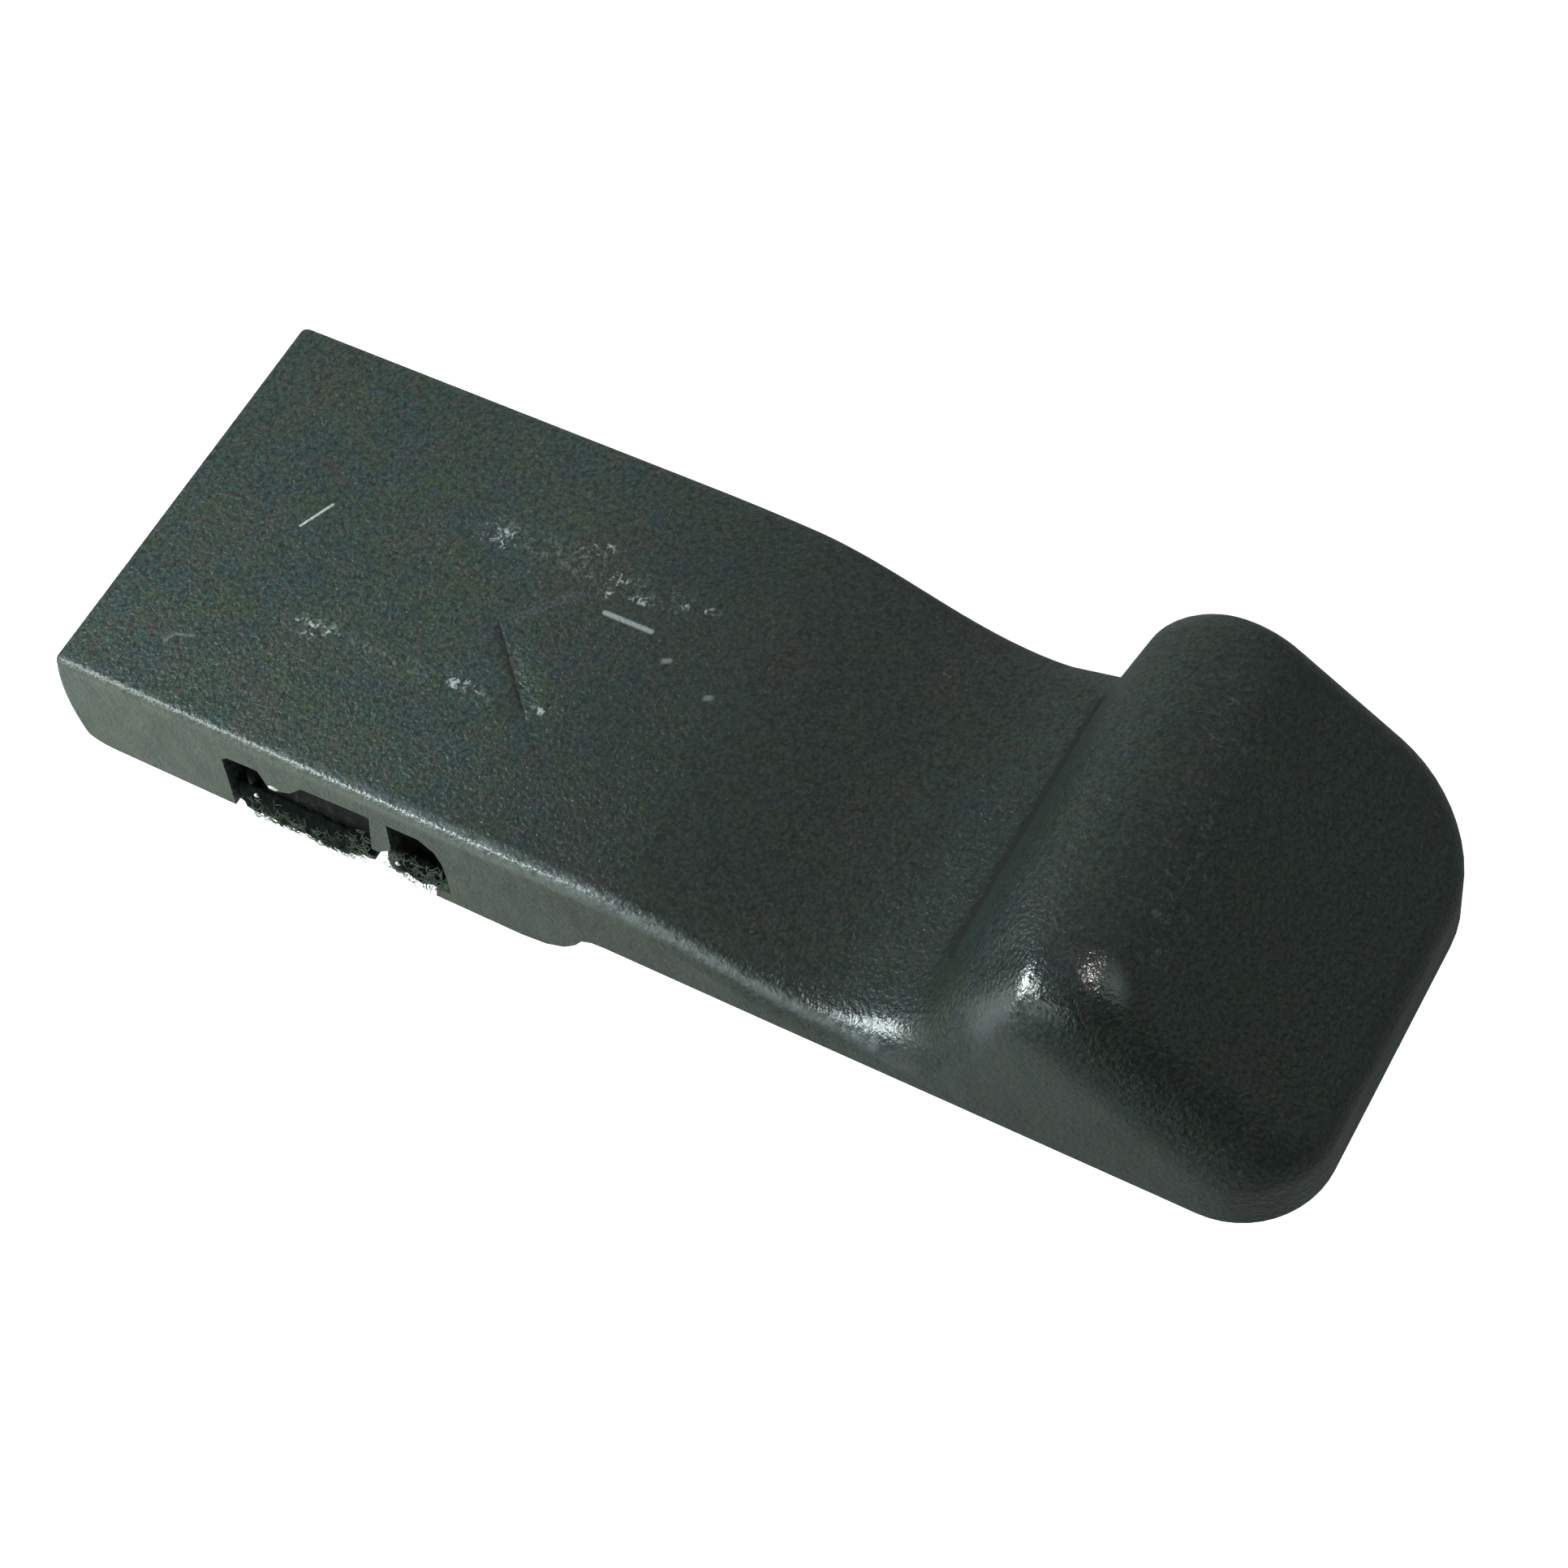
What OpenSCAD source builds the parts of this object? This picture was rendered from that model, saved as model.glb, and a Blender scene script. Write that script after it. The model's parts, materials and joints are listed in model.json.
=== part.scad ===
// Release lever unit: moulded handle on a cast core, pivoting on a pressed bracket
// with a return spring, rubber stops and a control cable connection.
// X runs from the rear edge to the finger end, Y across the handle, Z up. Millimetres.
// The modules count X from the handle's rear edge and Z from its rear rim; place() then
// moves them so that the origin is at the middle of the overall box's underside.

/* [Handle] */
// Length from the rear edge to the front lip
body_l = 116.8; // [105:0.1:130]
// Width over the skirts
body_w = 40; // [38:0.5:48]
// Height of the flat top above the rear skirt's rim
skirt_h = 13.5; // [13:0.5:18]
// Wall thickness of the moulding
wall = 2.2; // [1.6:0.1:2.4]
// Height of the front part's rim
front_rim = 5.2; // [4:0.1:5.4]
// Depth of the finger valley
dip = 4.5; // [2:0.1:4.6]
// Height of the hump's crest above the flat top
crest_h = 13.5; // [8:0.5:16]
// Radius of the long upper edges
rim_r = 0.8; // [0.4:0.1:1]
// Plan radius of the front corners
corner_r = 8; // [5:0.5:12]

/* [Side opening] */
// Rear end of the opening in the skirt
notch_x0 = 16; // [12:0.5:18]
// Front end of the opening in the skirt
notch_x1 = 38.9; // [36:0.1:42]
// Height of the opening's upper edge
notch_z = 9.4; // [8:0.1:10]

/* [Pivot] */
// Distance of the pivot from the rear edge
pivot_x = 26; // [24:0.5:28]
// Height of the pivot above the rear rim
pivot_z = 2.5; // [2:0.1:3]
// Radius of the pivot pin
pin_r = 2.5; // [2:0.05:2.6]
// Radial clearance of the pin in its bushes
pin_play = 0.05; // [0.02:0.01:0.1]

/* [Bracket] */
// Underside of the base plate
base_z = -16; // [-18:0.5:-16]
// Width of the base plate
base_w = 19; // [18:0.5:20]
// Sheet thickness
sheet = 2; // [1.5:0.1:2.5]
// Rear end of the base plate
base_x0 = 7; // [7:0.5:9]
// Front end of the base plate
base_x1 = 86; // [84:0.5:92]
// Distance between the two threaded holes
nut_pitch = 52; // [50:0.5:54]

/* [Return spring] */
// Wire radius
wire_r = 0.75; // [0.5:0.05:0.8]
// Mean radius of the coil
coil_r = 4.2; // [4:0.05:4.3]
// Distance between the first and the last turn
coil_l = 10.2; // [9:0.1:10.4]

/* [Cable connection] */
// Distance of the cable from the rear edge
cable_x = 40; // [38:0.5:42]
// Bore radius for the cable's outer sheath
sheath_r = 2.6; // [2:0.1:2.8]
// Radius of the hole for the inner wire
inner_r = 1.1; // [0.8:0.1:1.3]

/* [Hidden] */
$fn = 48;
in_w = body_w - 2 * wall;
valley_x0 = 53.5;
valley_x1 = 76;
foot_x = 83;
crest_r = 8.3;
edge_r = 5;
crest_x = body_l - 22;
crest_z = skirt_h + crest_h - crest_r;
corner_x = body_l - corner_r;
lip_r = 4;
lip_z = 9.9;
valley_z = skirt_h - dip;
foot_z = valley_z + 2.1;
cheek_y = body_w / 2 - wall - 0.3;
cheek_t = 1.7;
web_z = 7.8;
web_t = 2.2;
ear_r = 5;
plate_z = base_z + sheet;
ear_y = base_w / 2;
nut_x0 = pivot_x;
nut_x1 = pivot_x + nut_pitch;
leg_dx = 6.6;
leg_dz = -1.5;
leg_a = atan2(leg_dz, leg_dx) - acos(coil_r / norm([leg_dx, leg_dz]));
screw_xs = [12, 48];
screw_y = 11;
cover_z = 5.6;
cover_t = 1.6;
cover_screw_x = 97;

// Height of the handle's top face over the flat and the valley
function top_z(x) =
  x <= valley_x0 ? skirt_h :
  x <= valley_x1 ? skirt_h - dip * (1 - cos(180 * (x - valley_x0) / (valley_x1 - valley_x0))) / 2 :
  valley_z + (foot_z - valley_z) * pow((x - valley_x1) / (foot_x - valley_x1), 2);

// Extrudes an X-Z outline from y0 to y1
module side(y0, y1) {
  translate([0, y1, 0])
    rotate([90, 0, 0])
      linear_extrude(height = y1 - y0)
        children();
}

// Round bar along Y
module ybar(x, z, r, y0, y1) {
  translate([x, y0, z])
    rotate([-90, 0, 0])
      cylinder(h = y1 - y0, r = r);
}

// Disc about Y with rounded rims
module puck(x, z, r, half, f) {
  translate([x, 0, z])
    rotate([-90, 0, 0])
      rotate_extrude() {
        translate([0, -half]) square([r - f, 2 * half]);
        translate([0, f - half]) square([r, 2 * (half - f)]);
        for (s = [-1, 1])
          translate([r - f, s * (half - f)])
            intersection() {
              circle(r = f, $fn = 40);
              translate([0, s < 0 ? -f : 0]) square([f, f]);
            }
      }
}

// Upright corner post with a rounded upper rim
module post(y, r, z0, zc, f) {
  translate([corner_x, y, 0])
    rotate_extrude() {
      translate([0, z0]) square([r, zc - z0]);
      translate([0, z0]) square([r - f, zc + f - z0]);
      translate([r - f, zc])
        intersection() {
          circle(r = f, $fn = 40);
          square([f, f]);
        }
    }
}

module paddle_outline() {
  polygon(concat(
    [[0, 1.2], [0.4, 0.4], [1.2, 0], [45.5, 0], [48, 0.4], [50, 1.4], [51.4, 2.8], [52.3, 4.2], [53.4, 4.8], [54.6, 4.95]],
    [[foot_x + 3, front_rim + 0.1], [foot_x + 3, foot_z]],
    [for (x = [foot_x : -1 : 54]) [x, top_z(x)]],
    [[0.7, skirt_h], [0, skirt_h - 0.7]]
  ));
}

module paddle_hollow() {
  polygon(concat(
    [[wall, -1], [foot_x + 4, -1], [foot_x + 4, foot_z - wall]],
    [for (x = [foot_x : -1 : 54]) [x, top_z(x) - wall]],
    [[wall, skirt_h - wall]]
  ));
}

module notch_outline() {
  polygon([
    [notch_x0 - 0.6, -1], [notch_x0 - 0.4, 0.6], [notch_x0 + 0.6, notch_z - 0.9],
    [notch_x0 + 1.4, notch_z - 0.3], [notch_x0 + 6.5, notch_z], [notch_x1 - 1.6, notch_z + 0.6],
    [notch_x1 - 0.3, notch_z - 0.6], [notch_x1 + 0.1, notch_z - 2.4], [notch_x1 - 0.2, 1.7],
    [notch_x1 - 1.8, 1.5], [notch_x1 - 2.4, -1]
  ]);
}

// Tapered rib that divides the opening
module notch_rib() {
  polygon([[32.3, 10.2], [34, 10.2], [33.2, 4.9], [31.6, 3.4], [30.8, 3.4]]);
}

module arrow_line(x0, y0, x1, y1) {
  hull() {
    translate([x0, y0, skirt_h - 0.35]) cylinder(h = 1, r = 0.45, $fn = 24);
    translate([x1, y1, skirt_h - 0.35]) cylinder(h = 1, r = 0.45, $fn = 24);
  }
}

// Moves the unit from the handle's own corner to the frame's origin
module place() {
  translate([-body_l / 2, 0, -base_z])
    children();
}

module handle_shell() color("#3a423f") place() {
  difference() {
    union() {
      difference() {
        union() {
          side(-body_w / 2, body_w / 2) paddle_outline();
          hull() {
            puck(crest_x, crest_z, crest_r, body_w / 2, edge_r);
            for (s = [-1, 1])
              post(s * (body_w / 2 - corner_r), corner_r, front_rim + 0.3, lip_z, lip_r);
            puck(foot_x + 5.2, foot_z - 0.1, edge_r, body_w / 2, edge_r - 0.5);
            translate([foot_x + 3, -body_w / 2, front_rim + 0.1])
              cube([1.5, body_w, 3]);
          }
        }
        side(-in_w / 2, in_w / 2) paddle_hollow();
        hull() {
          puck(crest_x, crest_z, crest_r - wall, in_w / 2, edge_r - wall);
          for (s = [-1, 1])
            post(s * (body_w / 2 - corner_r), corner_r - wall, 3, lip_z, lip_r - wall);
          puck(foot_x + 5.2, foot_z - 0.1, edge_r - wall, in_w / 2, edge_r - wall - 0.5);
          translate([foot_x + 3, -in_w / 2, 3])
            cube([1.5, in_w, 3]);
        }
        side(-body_w / 2 - 1, body_w / 2 + 1) notch_outline();
        for (s = [-1, 1])
          translate([-1, s * (body_w / 2 - rim_r), skirt_h - rim_r])
            rotate([90, 0, 90])
              linear_extrude(height = 59)
                difference() {
                  translate([s < 0 ? -2 : 0, 0]) square(2);
                  circle(r = rim_r);
                }
      }
      for (s = [-1, 1])
        side(s < 0 ? -body_w / 2 : in_w / 2, s < 0 ? -in_w / 2 : body_w / 2) notch_rib();
      for (x = screw_xs, s = [-1, 1])
        translate([x, s * screw_y, web_z + 0.1]) cylinder(h = skirt_h - wall - web_z, r = 3.2);
      translate([cover_screw_x, 0, cover_z + 2.7]) cylinder(h = crest_z - cover_z + 2, r = 3.4);
    }
    for (x = screw_xs, s = [-1, 1])
      translate([x, s * screw_y, 0]) cylinder(h = skirt_h - 1.1, r = 1.2);
    translate([cover_screw_x, 0, 0]) cylinder(h = 17.5, r = 1.3);
    arrow_line(33.7, -0.3, 38.8, 5.6);
    arrow_line(33.7, -0.3, 40.2, -6.8);
  }
}

module grip_cover() color("#2f3533") place() {
  difference() {
    union() {
      translate([0, 0, cover_z])
        linear_extrude(height = cover_t) {
          translate([foot_x + 4.5, 0.2 - in_w / 2]) square([corner_x - foot_x - 4.5, in_w - 0.4]);
          translate([corner_x, -body_w / 2 + corner_r])
            square([corner_r - wall - 0.2, body_w - 2 * corner_r]);
          for (s = [-1, 1])
            translate([corner_x, s * (body_w / 2 - corner_r)]) circle(r = corner_r - wall - 0.2);
        }
      translate([cover_screw_x, 0, cover_z]) cylinder(h = 2.5, r = 4.6);
    }
    translate([cover_screw_x, 0, cover_z - 1]) cylinder(h = 2.3, r = 2.9);
    translate([cover_screw_x, 0, cover_z - 1]) cylinder(h = 5, r = 1.5);
    for (y = [-12 : 4 : 12])
      translate([102, y - 0.6, cover_z - 1]) cube([7, 1.2, 1.5]);
  }
}

module cover_screw() color("#9a9da0") place() {
  difference() {
    union() {
      translate([cover_screw_x, 0, cover_z + 0.1]) cylinder(h = 1.1, r = 2.7);
      translate([cover_screw_x, 0, cover_z + 1.2]) cylinder(h = 9.8, r = 1.25);
    }
    for (a = [0, 90])
      translate([cover_screw_x, 0, cover_z])
        rotate([0, 0, a])
          translate([-1.6, -0.3, -0.2]) cube([3.2, 0.6, 0.9]);
  }
}

module cheek_outline() {
  polygon([
    [6, web_z + web_t], [6, 2], [9, -1.2], [14, -3.6], [27.4, -3.6], [28.4, -3], [29.2, -0.4],
    [30, -3], [36.6, -3.2], [38.6, -1.6], [43, 2.2], [47, 6], [50, web_z], [52, web_z + web_t]
  ]);
}

module bead_outline() {
  polygon([
    [14.2, -3.6], [14.8, -1.2], [16, 0.6], [17.6, 2.2], [19.6, 3.6], [21.6, 4.9], [23.4, 6.2],
    [30.2, 6.2], [29.8, 0], [28.4, -3], [27.4, -3.6]
  ]);
}

module lug_outline() {
  translate([cable_x - 4, 0]) square([8, web_z + 0.5]);
  translate([cable_x, 0]) circle(r = 4);
}

module lever_core() color("#7b838a") place() {
  difference() {
    union() {
      translate([6, -cheek_y, web_z]) cube([52, 2 * cheek_y, web_t]);
      translate([56, -9, web_z - 2]) cube([2, 18, web_t + 2]);
      translate([56, -9, web_z - 2]) cube([12, 18, 2]);
      for (s = [-1, 1]) {
        side(s < 0 ? -cheek_y : cheek_y - cheek_t, s < 0 ? cheek_t - cheek_y : cheek_y) cheek_outline();
        side(s < 0 ? -6.2 : 4.2, s < 0 ? -4.2 : 6.2) lug_outline();
      }
      intersection() {
        side(-body_w / 2 + 0.8, -cheek_y + 0.3) bead_outline();
        translate([0, 9.9 - body_w / 2, 1]) rotate([0, 90, 0]) cylinder(h = 60, r = 9, $fn = 96);
      }
      ybar(pivot_x, pivot_z, ear_r, -cheek_y + 1, -11.6);
      ybar(pivot_x, pivot_z, ear_r, 13.2, cheek_y - 1);
    }
    ybar(pivot_x, pivot_z, pin_r + 0.02, -17.3, -10);
    ybar(pivot_x, pivot_z, pin_r + 0.02, 12, 20);
    ybar(pivot_x + leg_dx, pivot_z + leg_dz, 1.7, -20, -15);
    ybar(cable_x, 0, pin_r + 0.05, -7, 7);
    for (x = screw_xs, s = [-1, 1])
      translate([x, s * screw_y, web_z - 1]) cylinder(h = 5, r = 3.4);
    translate([34, -2.6, web_z - 1]) cube([12, 5.2, 5]);
  }
}

module core_screws() color("#9a9da0") place() {
  for (x = screw_xs, s = [-1, 1])
    translate([x, s * screw_y, 0])
      difference() {
        union() {
          translate([0, 0, web_z - 1.4]) cylinder(h = 1.4, r = 4.2);
          translate([0, 0, web_z - 0.1]) cylinder(h = 4.5, r = 1.2);
        }
        for (a = [0, 90])
          rotate([0, 0, a]) translate([-2, -0.35, web_z - 2]) cube([4, 0.7, 1.4]);
      }
}

module felt_strip() color("#5b5f58") place() {
  intersection() {
    difference() {
      translate([notch_x0 + 1.2, 9.9 - body_w / 2, 1]) rotate([0, 90, 0]) cylinder(h = 13.4, r = 9.8, $fn = 96);
      translate([0, 9.9 - body_w / 2, 1]) rotate([0, 90, 0]) cylinder(h = 60, r = 9.02, $fn = 96);
    }
    translate([10, -body_w / 2, -1.1]) cube([30, 3, 4.7]);
  }
}

module pivot_pin() color("#b4b8bb") place() {
  difference() {
    union() {
      ybar(pivot_x, pivot_z, pin_r, -17.2, cheek_y + 0.2);
      ybar(pivot_x, pivot_z, 4.2, cheek_y, cheek_y + 1.4);
    }
    difference() {
      ybar(pivot_x, pivot_z, 4, 12.25, 13.15);
      ybar(pivot_x, pivot_z, 1.9, 12, 13.5);
    }
  }
}

module e_clip(x, z, r0, r1, y0, t) {
  difference() {
    ybar(x, z, r1, y0, y0 + t);
    ybar(x, z, r0, y0 - 1, y0 + t + 1);
    translate([x - r0 * 0.9, y0 - 1, z - r1 - 1]) cube([r0 * 1.8, t + 2, r1 + 1]);
  }
}

module pin_clip() color("#44474a") place() {
  e_clip(pivot_x, pivot_z, 1.95, 4.4, 12.3, 0.8);
}

module spring_mandrel() color("#d8d6cc") place() {
  difference() {
    ybar(pivot_x, pivot_z, 3.2, -6.2, 6.2);
    ybar(pivot_x, pivot_z, pin_r + 0.05, -7, 7);
  }
}

module spring_sleeve() color("#c9ccc8") place() {
  difference() {
    union() {
      ybar(pivot_x + leg_dx, pivot_z + leg_dz, 1.5, -18.2, -14);
      translate([pivot_x + leg_dx, -18.2, pivot_z + leg_dz]) sphere(r = 1.5, $fn = 32);
    }
    ybar(pivot_x + leg_dx, pivot_z + leg_dz, wire_r + 0.05, -18.1, -13);
  }
}

module ear_outline() {
  translate([pivot_x, pivot_z]) circle(r = ear_r);
  translate([pivot_x - ear_r, base_z]) square([2 * ear_r, pivot_z - base_z]);
  polygon([
    [pivot_x - 8, base_z], [pivot_x - 8, plate_z + 1], [pivot_x - ear_r, plate_z + 5],
    [pivot_x + ear_r, plate_z + 5], [pivot_x + 8, plate_z + 1], [pivot_x + 8, base_z]
  ]);
}

module base_bracket() color("#8d9294") place() {
  difference() {
    union() {
      translate([0, 0, base_z])
        linear_extrude(height = sheet) {
          translate([base_x0 + 4, -base_w / 2]) square([base_x1 - base_x0 - 8, base_w]);
          translate([base_x0, 4 - base_w / 2]) square([base_x1 - base_x0, base_w - 8]);
          for (x = [base_x0 + 4, base_x1 - 4], s = [-1, 1])
            translate([x, s * (base_w / 2 - 4)]) circle(r = 4);
        }
      for (s = [-1, 1])
        side(s < 0 ? -ear_y : ear_y - sheet, s < 0 ? sheet - ear_y : ear_y) ear_outline();
    }
    ybar(pivot_x, pivot_z, 3.5, -20, 20);
    translate([nut_x0, 0, base_z - 1]) cylinder(h = 4, r = 2.95);
    translate([nut_x1, 0, base_z - 1]) cylinder(h = 4, r = 2.95);
    translate([cable_x, 0, base_z - 1]) cylinder(h = 4, r = 4.03);
    translate([12, 0, base_z - 1]) cylinder(h = 4, r = 1.8);
    translate([pivot_x + coil_r, coil_l / 2, base_z - 1]) cylinder(h = 4, r = 0.95);
  }
}

// Welded channel that carries the buffer under the lever's tongue
module stop_angle() color("#8d9294") place() {
  difference() {
    union() {
      translate([57, -6, plate_z]) cube([sheet, 12, 1 - plate_z]);
      translate([57, -6, 1 - sheet]) cube([11.5, 12, sheet]);
      translate([57, -6, plate_z]) cube([10.5, 12, sheet]);
      for (y = [-6, 4.5])
        side(y, y + 1.5)
          polygon([
            [58.5, plate_z + 1], [58.5, -0.5], [64, -0.5], [64, -2], [61.5, -5],
            [61.5, plate_z + 4], [63, plate_z + 1]
          ]);
    }
    translate([64, 0, -2]) cylinder(h = 4, r = 1.8);
  }
}

module pivot_bush(s) {
  difference() {
    union() {
      ybar(pivot_x, pivot_z, 3.5, s < 0 ? -ear_y : ear_y - 2.9, s < 0 ? 2.9 - ear_y : ear_y);
      ybar(pivot_x, pivot_z, 4.9, s < 0 ? -ear_y - 1.2 : ear_y, s < 0 ? -ear_y : ear_y + 1.2);
    }
    ybar(pivot_x, pivot_z, pin_r + pin_play, -20, 20);
  }
}

module pivot_bush_near() color("#d8d6cc") place() {
  pivot_bush(-1);
}

module pivot_bush_far() color("#d8d6cc") place() {
  pivot_bush(1);
}

module thrust_washers() color("#b4b8bb") place() {
  for (y = [-11.4, 10.9])
    difference() {
      ybar(pivot_x, pivot_z, 4.9, y, y + 0.5);
      ybar(pivot_x, pivot_z, pin_r + 0.1, y - 1, y + 1.5);
    }
}

// One ring of the wire: its middle, and the two directions of its section
function wire_ring(c, u, v, sides) =
  [for (j = [0 : sides - 1]) let (a = 360 * j / sides) c + wire_r * cos(a) * u + wire_r * sin(a) * v];

module return_spring() color("#a7abad") place() {
  turns = 6 + leg_a / 360;
  steps = 120;
  sides = 10;
  bend = 1.1;
  across = [0, 1, 0];
  out = [cos(leg_a), 0, sin(leg_a)];
  ahead = [-sin(leg_a), 0, cos(leg_a)];
  hook = [pivot_x + leg_dx, -coil_l / 2, pivot_z + leg_dz];
  fixed_leg = [wire_ring([pivot_x + coil_r, coil_l / 2, base_z + 0.4], [1, 0, 0], across, sides)];
  coil = [for (i = [0 : steps])
    let (t = turns * 360 * i / steps, r = [cos(t), 0, sin(t)])
    wire_ring([pivot_x, coil_l / 2 - coil_l * i / steps, pivot_z] + coil_r * r, r, across, sides)];
  corner = [for (b = [0 : 15 : 90])
    wire_ring(hook - bend * (1 - sin(b)) * ahead - bend * (1 - cos(b)) * across,
      out, cos(b) * across + sin(b) * ahead, sides)];
  tip = [wire_ring([hook[0], -18, hook[2]], out, ahead, sides)];
  rings = concat(fixed_leg, coil, corner, tip);
  n = len(rings);
  skin = [for (i = [0 : n - 2], j = [0 : sides - 1], h = [0, 1])
    let (k = (j + 1) % sides)
    h == 0 ? [i * sides + j, (i + 1) * sides + j, (i + 1) * sides + k]
      : [i * sides + j, (i + 1) * sides + k, i * sides + k]];
  polyhedron(
    points = [for (r = rings, p = r) p],
    faces = concat(skin, [[for (j = [0 : sides - 1]) j]], [[for (j = [sides - 1 : -1 : 0]) (n - 1) * sides + j]])
  );
}

module rest_buffer() color("#222222") place() {
  translate([64, 0, 1]) cylinder(h = web_z - 2 - 1 - 0.3, r1 = 4.2, r2 = 3.5);
  translate([64, 0, -1.2]) cylinder(h = 2.4, r = 1.75);
  translate([64, 0, -2.8]) cylinder(h = 1.8, r1 = 1.6, r2 = 2.6);
}

module open_stop_buffer() color("#222222") place() {
  translate([12, 0, plate_z]) cylinder(h = 12, r1 = 3.5, r2 = 2.9);
  translate([12, 0, base_z + 0.4]) cylinder(h = sheet, r = 1.75);
}

module clinch_nuts() color("#b4b8bb") place() {
  for (x = [nut_x0, nut_x1])
    translate([x, 0, 0])
      difference() {
        union() {
          translate([0, 0, plate_z]) cylinder(h = 4, r = 4.2);
          translate([0, 0, base_z]) cylinder(h = sheet + 0.5, r = 2.95);
        }
        translate([0, 0, base_z - 1]) cylinder(h = 9, r = 2.1);
      }
}

module cable_ferrule() color("#26292b") place() {
  translate([cable_x, 0, 0])
    difference() {
      union() {
        translate([0, 0, base_z]) cylinder(h = sheet + 0.5, r = 4);
        translate([0, 0, plate_z]) cylinder(h = 1.5, r = 5.5);
        translate([0, 0, plate_z]) cylinder(h = 5.5, r = 3.8);
      }
      translate([0, 0, base_z - 1]) cylinder(h = 6.5, r = sheath_r);
      translate([0, 0, base_z - 1]) cylinder(h = 12, r = inner_r);
    }
}

module cable_trunnion() color("#c8a95a") place() {
  difference() {
    union() {
      ybar(cable_x, 0, pin_r, -6.6, 7.8);
      ybar(cable_x, 0, 3.6, -7.8, -6.5);
    }
    difference() {
      ybar(cable_x, 0, 4, 6.65, 7.35);
      ybar(cable_x, 0, 1.9, 6, 8);
    }
    translate([cable_x, 0, -4]) cylinder(h = 8, r = inner_r);
    translate([cable_x, 0, 0]) cylinder(h = 4, r = 1.7);
  }
}

module trunnion_clip() color("#44474a") place() {
  e_clip(cable_x, 0, 1.95, 3.8, 6.7, 0.6);
}

handle_shell();
grip_cover();
cover_screw();
lever_core();
core_screws();
felt_strip();
pivot_pin();
pin_clip();
spring_mandrel();
spring_sleeve();
base_bracket();
stop_angle();
pivot_bush_near();
pivot_bush_far();
thrust_washers();
return_spring();
rest_buffer();
open_stop_buffer();
clinch_nuts();
cable_ferrule();
cable_trunnion();
trunnion_clip();
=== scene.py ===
import json
import math
import random

import bmesh
import bpy
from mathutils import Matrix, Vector, noise


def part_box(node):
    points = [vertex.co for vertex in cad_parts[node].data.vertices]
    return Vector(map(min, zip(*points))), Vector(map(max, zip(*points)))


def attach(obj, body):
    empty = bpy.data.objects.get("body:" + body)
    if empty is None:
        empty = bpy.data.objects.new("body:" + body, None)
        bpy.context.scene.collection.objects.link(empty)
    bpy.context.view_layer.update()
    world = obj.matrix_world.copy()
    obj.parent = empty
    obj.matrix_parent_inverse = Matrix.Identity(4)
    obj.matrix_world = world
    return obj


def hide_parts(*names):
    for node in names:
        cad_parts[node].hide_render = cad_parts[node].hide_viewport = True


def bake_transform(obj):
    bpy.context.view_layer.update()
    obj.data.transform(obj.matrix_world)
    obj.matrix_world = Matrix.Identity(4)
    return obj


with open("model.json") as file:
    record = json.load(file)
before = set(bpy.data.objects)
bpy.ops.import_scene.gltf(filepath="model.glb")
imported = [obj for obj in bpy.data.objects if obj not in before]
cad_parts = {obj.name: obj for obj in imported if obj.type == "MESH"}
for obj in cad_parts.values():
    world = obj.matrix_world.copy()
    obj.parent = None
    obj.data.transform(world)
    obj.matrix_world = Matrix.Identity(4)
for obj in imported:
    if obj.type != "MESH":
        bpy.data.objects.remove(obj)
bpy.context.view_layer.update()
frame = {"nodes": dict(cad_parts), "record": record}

MM = 0.001
ORIGIN = Vector((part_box("handle_shell")[0][0], 0.0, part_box("handle_shell")[0][2]))

# Handle, in mm from its rear edge and rear rim
BODY_L = 116.8
HALF_W = 20.0
FLAT_Z = 13.5
WALL = 2.2
DIP = 4.5
VALLEY = (53.5, 76.0)
CREST = (94.8, 18.7)
CREST_R = 8.3
STEEP_A = 158.4
RAMP_A = 51.56
CORNER_R = {-1: 8.0, 1: 10.2}
HUMP_EDGE = {-1: 6.0, 1: 3.5}
HUMP_PLAN = {-1: 2.6, 1: 0.7}
LIP_R = 4.0
REAR_R = 0.85
REAR_BULGE = 1.3
DEEP = -3.0
ARC_STEPS = 10
ACROSS = (-1, -0.96, -0.91, -0.85, -0.78, -0.7, -0.6, -0.45, -0.25, 0,
          0.25, 0.45, 0.6, 0.7, 0.78, 0.85, 0.91, 0.96, 1)
PIVOT = (26.0, 2.5)
COIL_R = 4.2
COIL_L = 10.2
WIRE_R = 0.75
HOOK = (32.6, 1.0)


def at(x, y, z):
    return ORIGIN + Vector((x, y, z)) * MM


def smooth(a, b, x):
    t = min(max((x - a) / (b - a), 0.0), 1.0)
    return t * t * (3 - 2 * t)


def unit(x, z):
    d = math.hypot(x, z)
    return (x / d, z / d)


def polar(deg):
    return (math.cos(math.radians(deg)), math.sin(math.radians(deg)))


def upper(x):
    """Height of the flat top, the finger valley and the rise at the hump's foot."""
    if x <= VALLEY[0]:
        return FLAT_Z
    if x <= VALLEY[1]:
        turn = math.pi * (x - VALLEY[0]) / (VALLEY[1] - VALLEY[0])
        return FLAT_Z - DIP * (1 - math.cos(turn)) / 2
    return FLAT_Z - DIP + 2.1 * ((x - VALLEY[1]) / 7.0) ** 2


def edge_radius(x, side):
    """Radius of the long upper edges, which grows from the flat top to the hump."""
    return 0.8 + 2.2 * smooth(44, 76, x) + (HUMP_EDGE[side] - 3.0) * smooth(82.5, 90, x)


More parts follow.
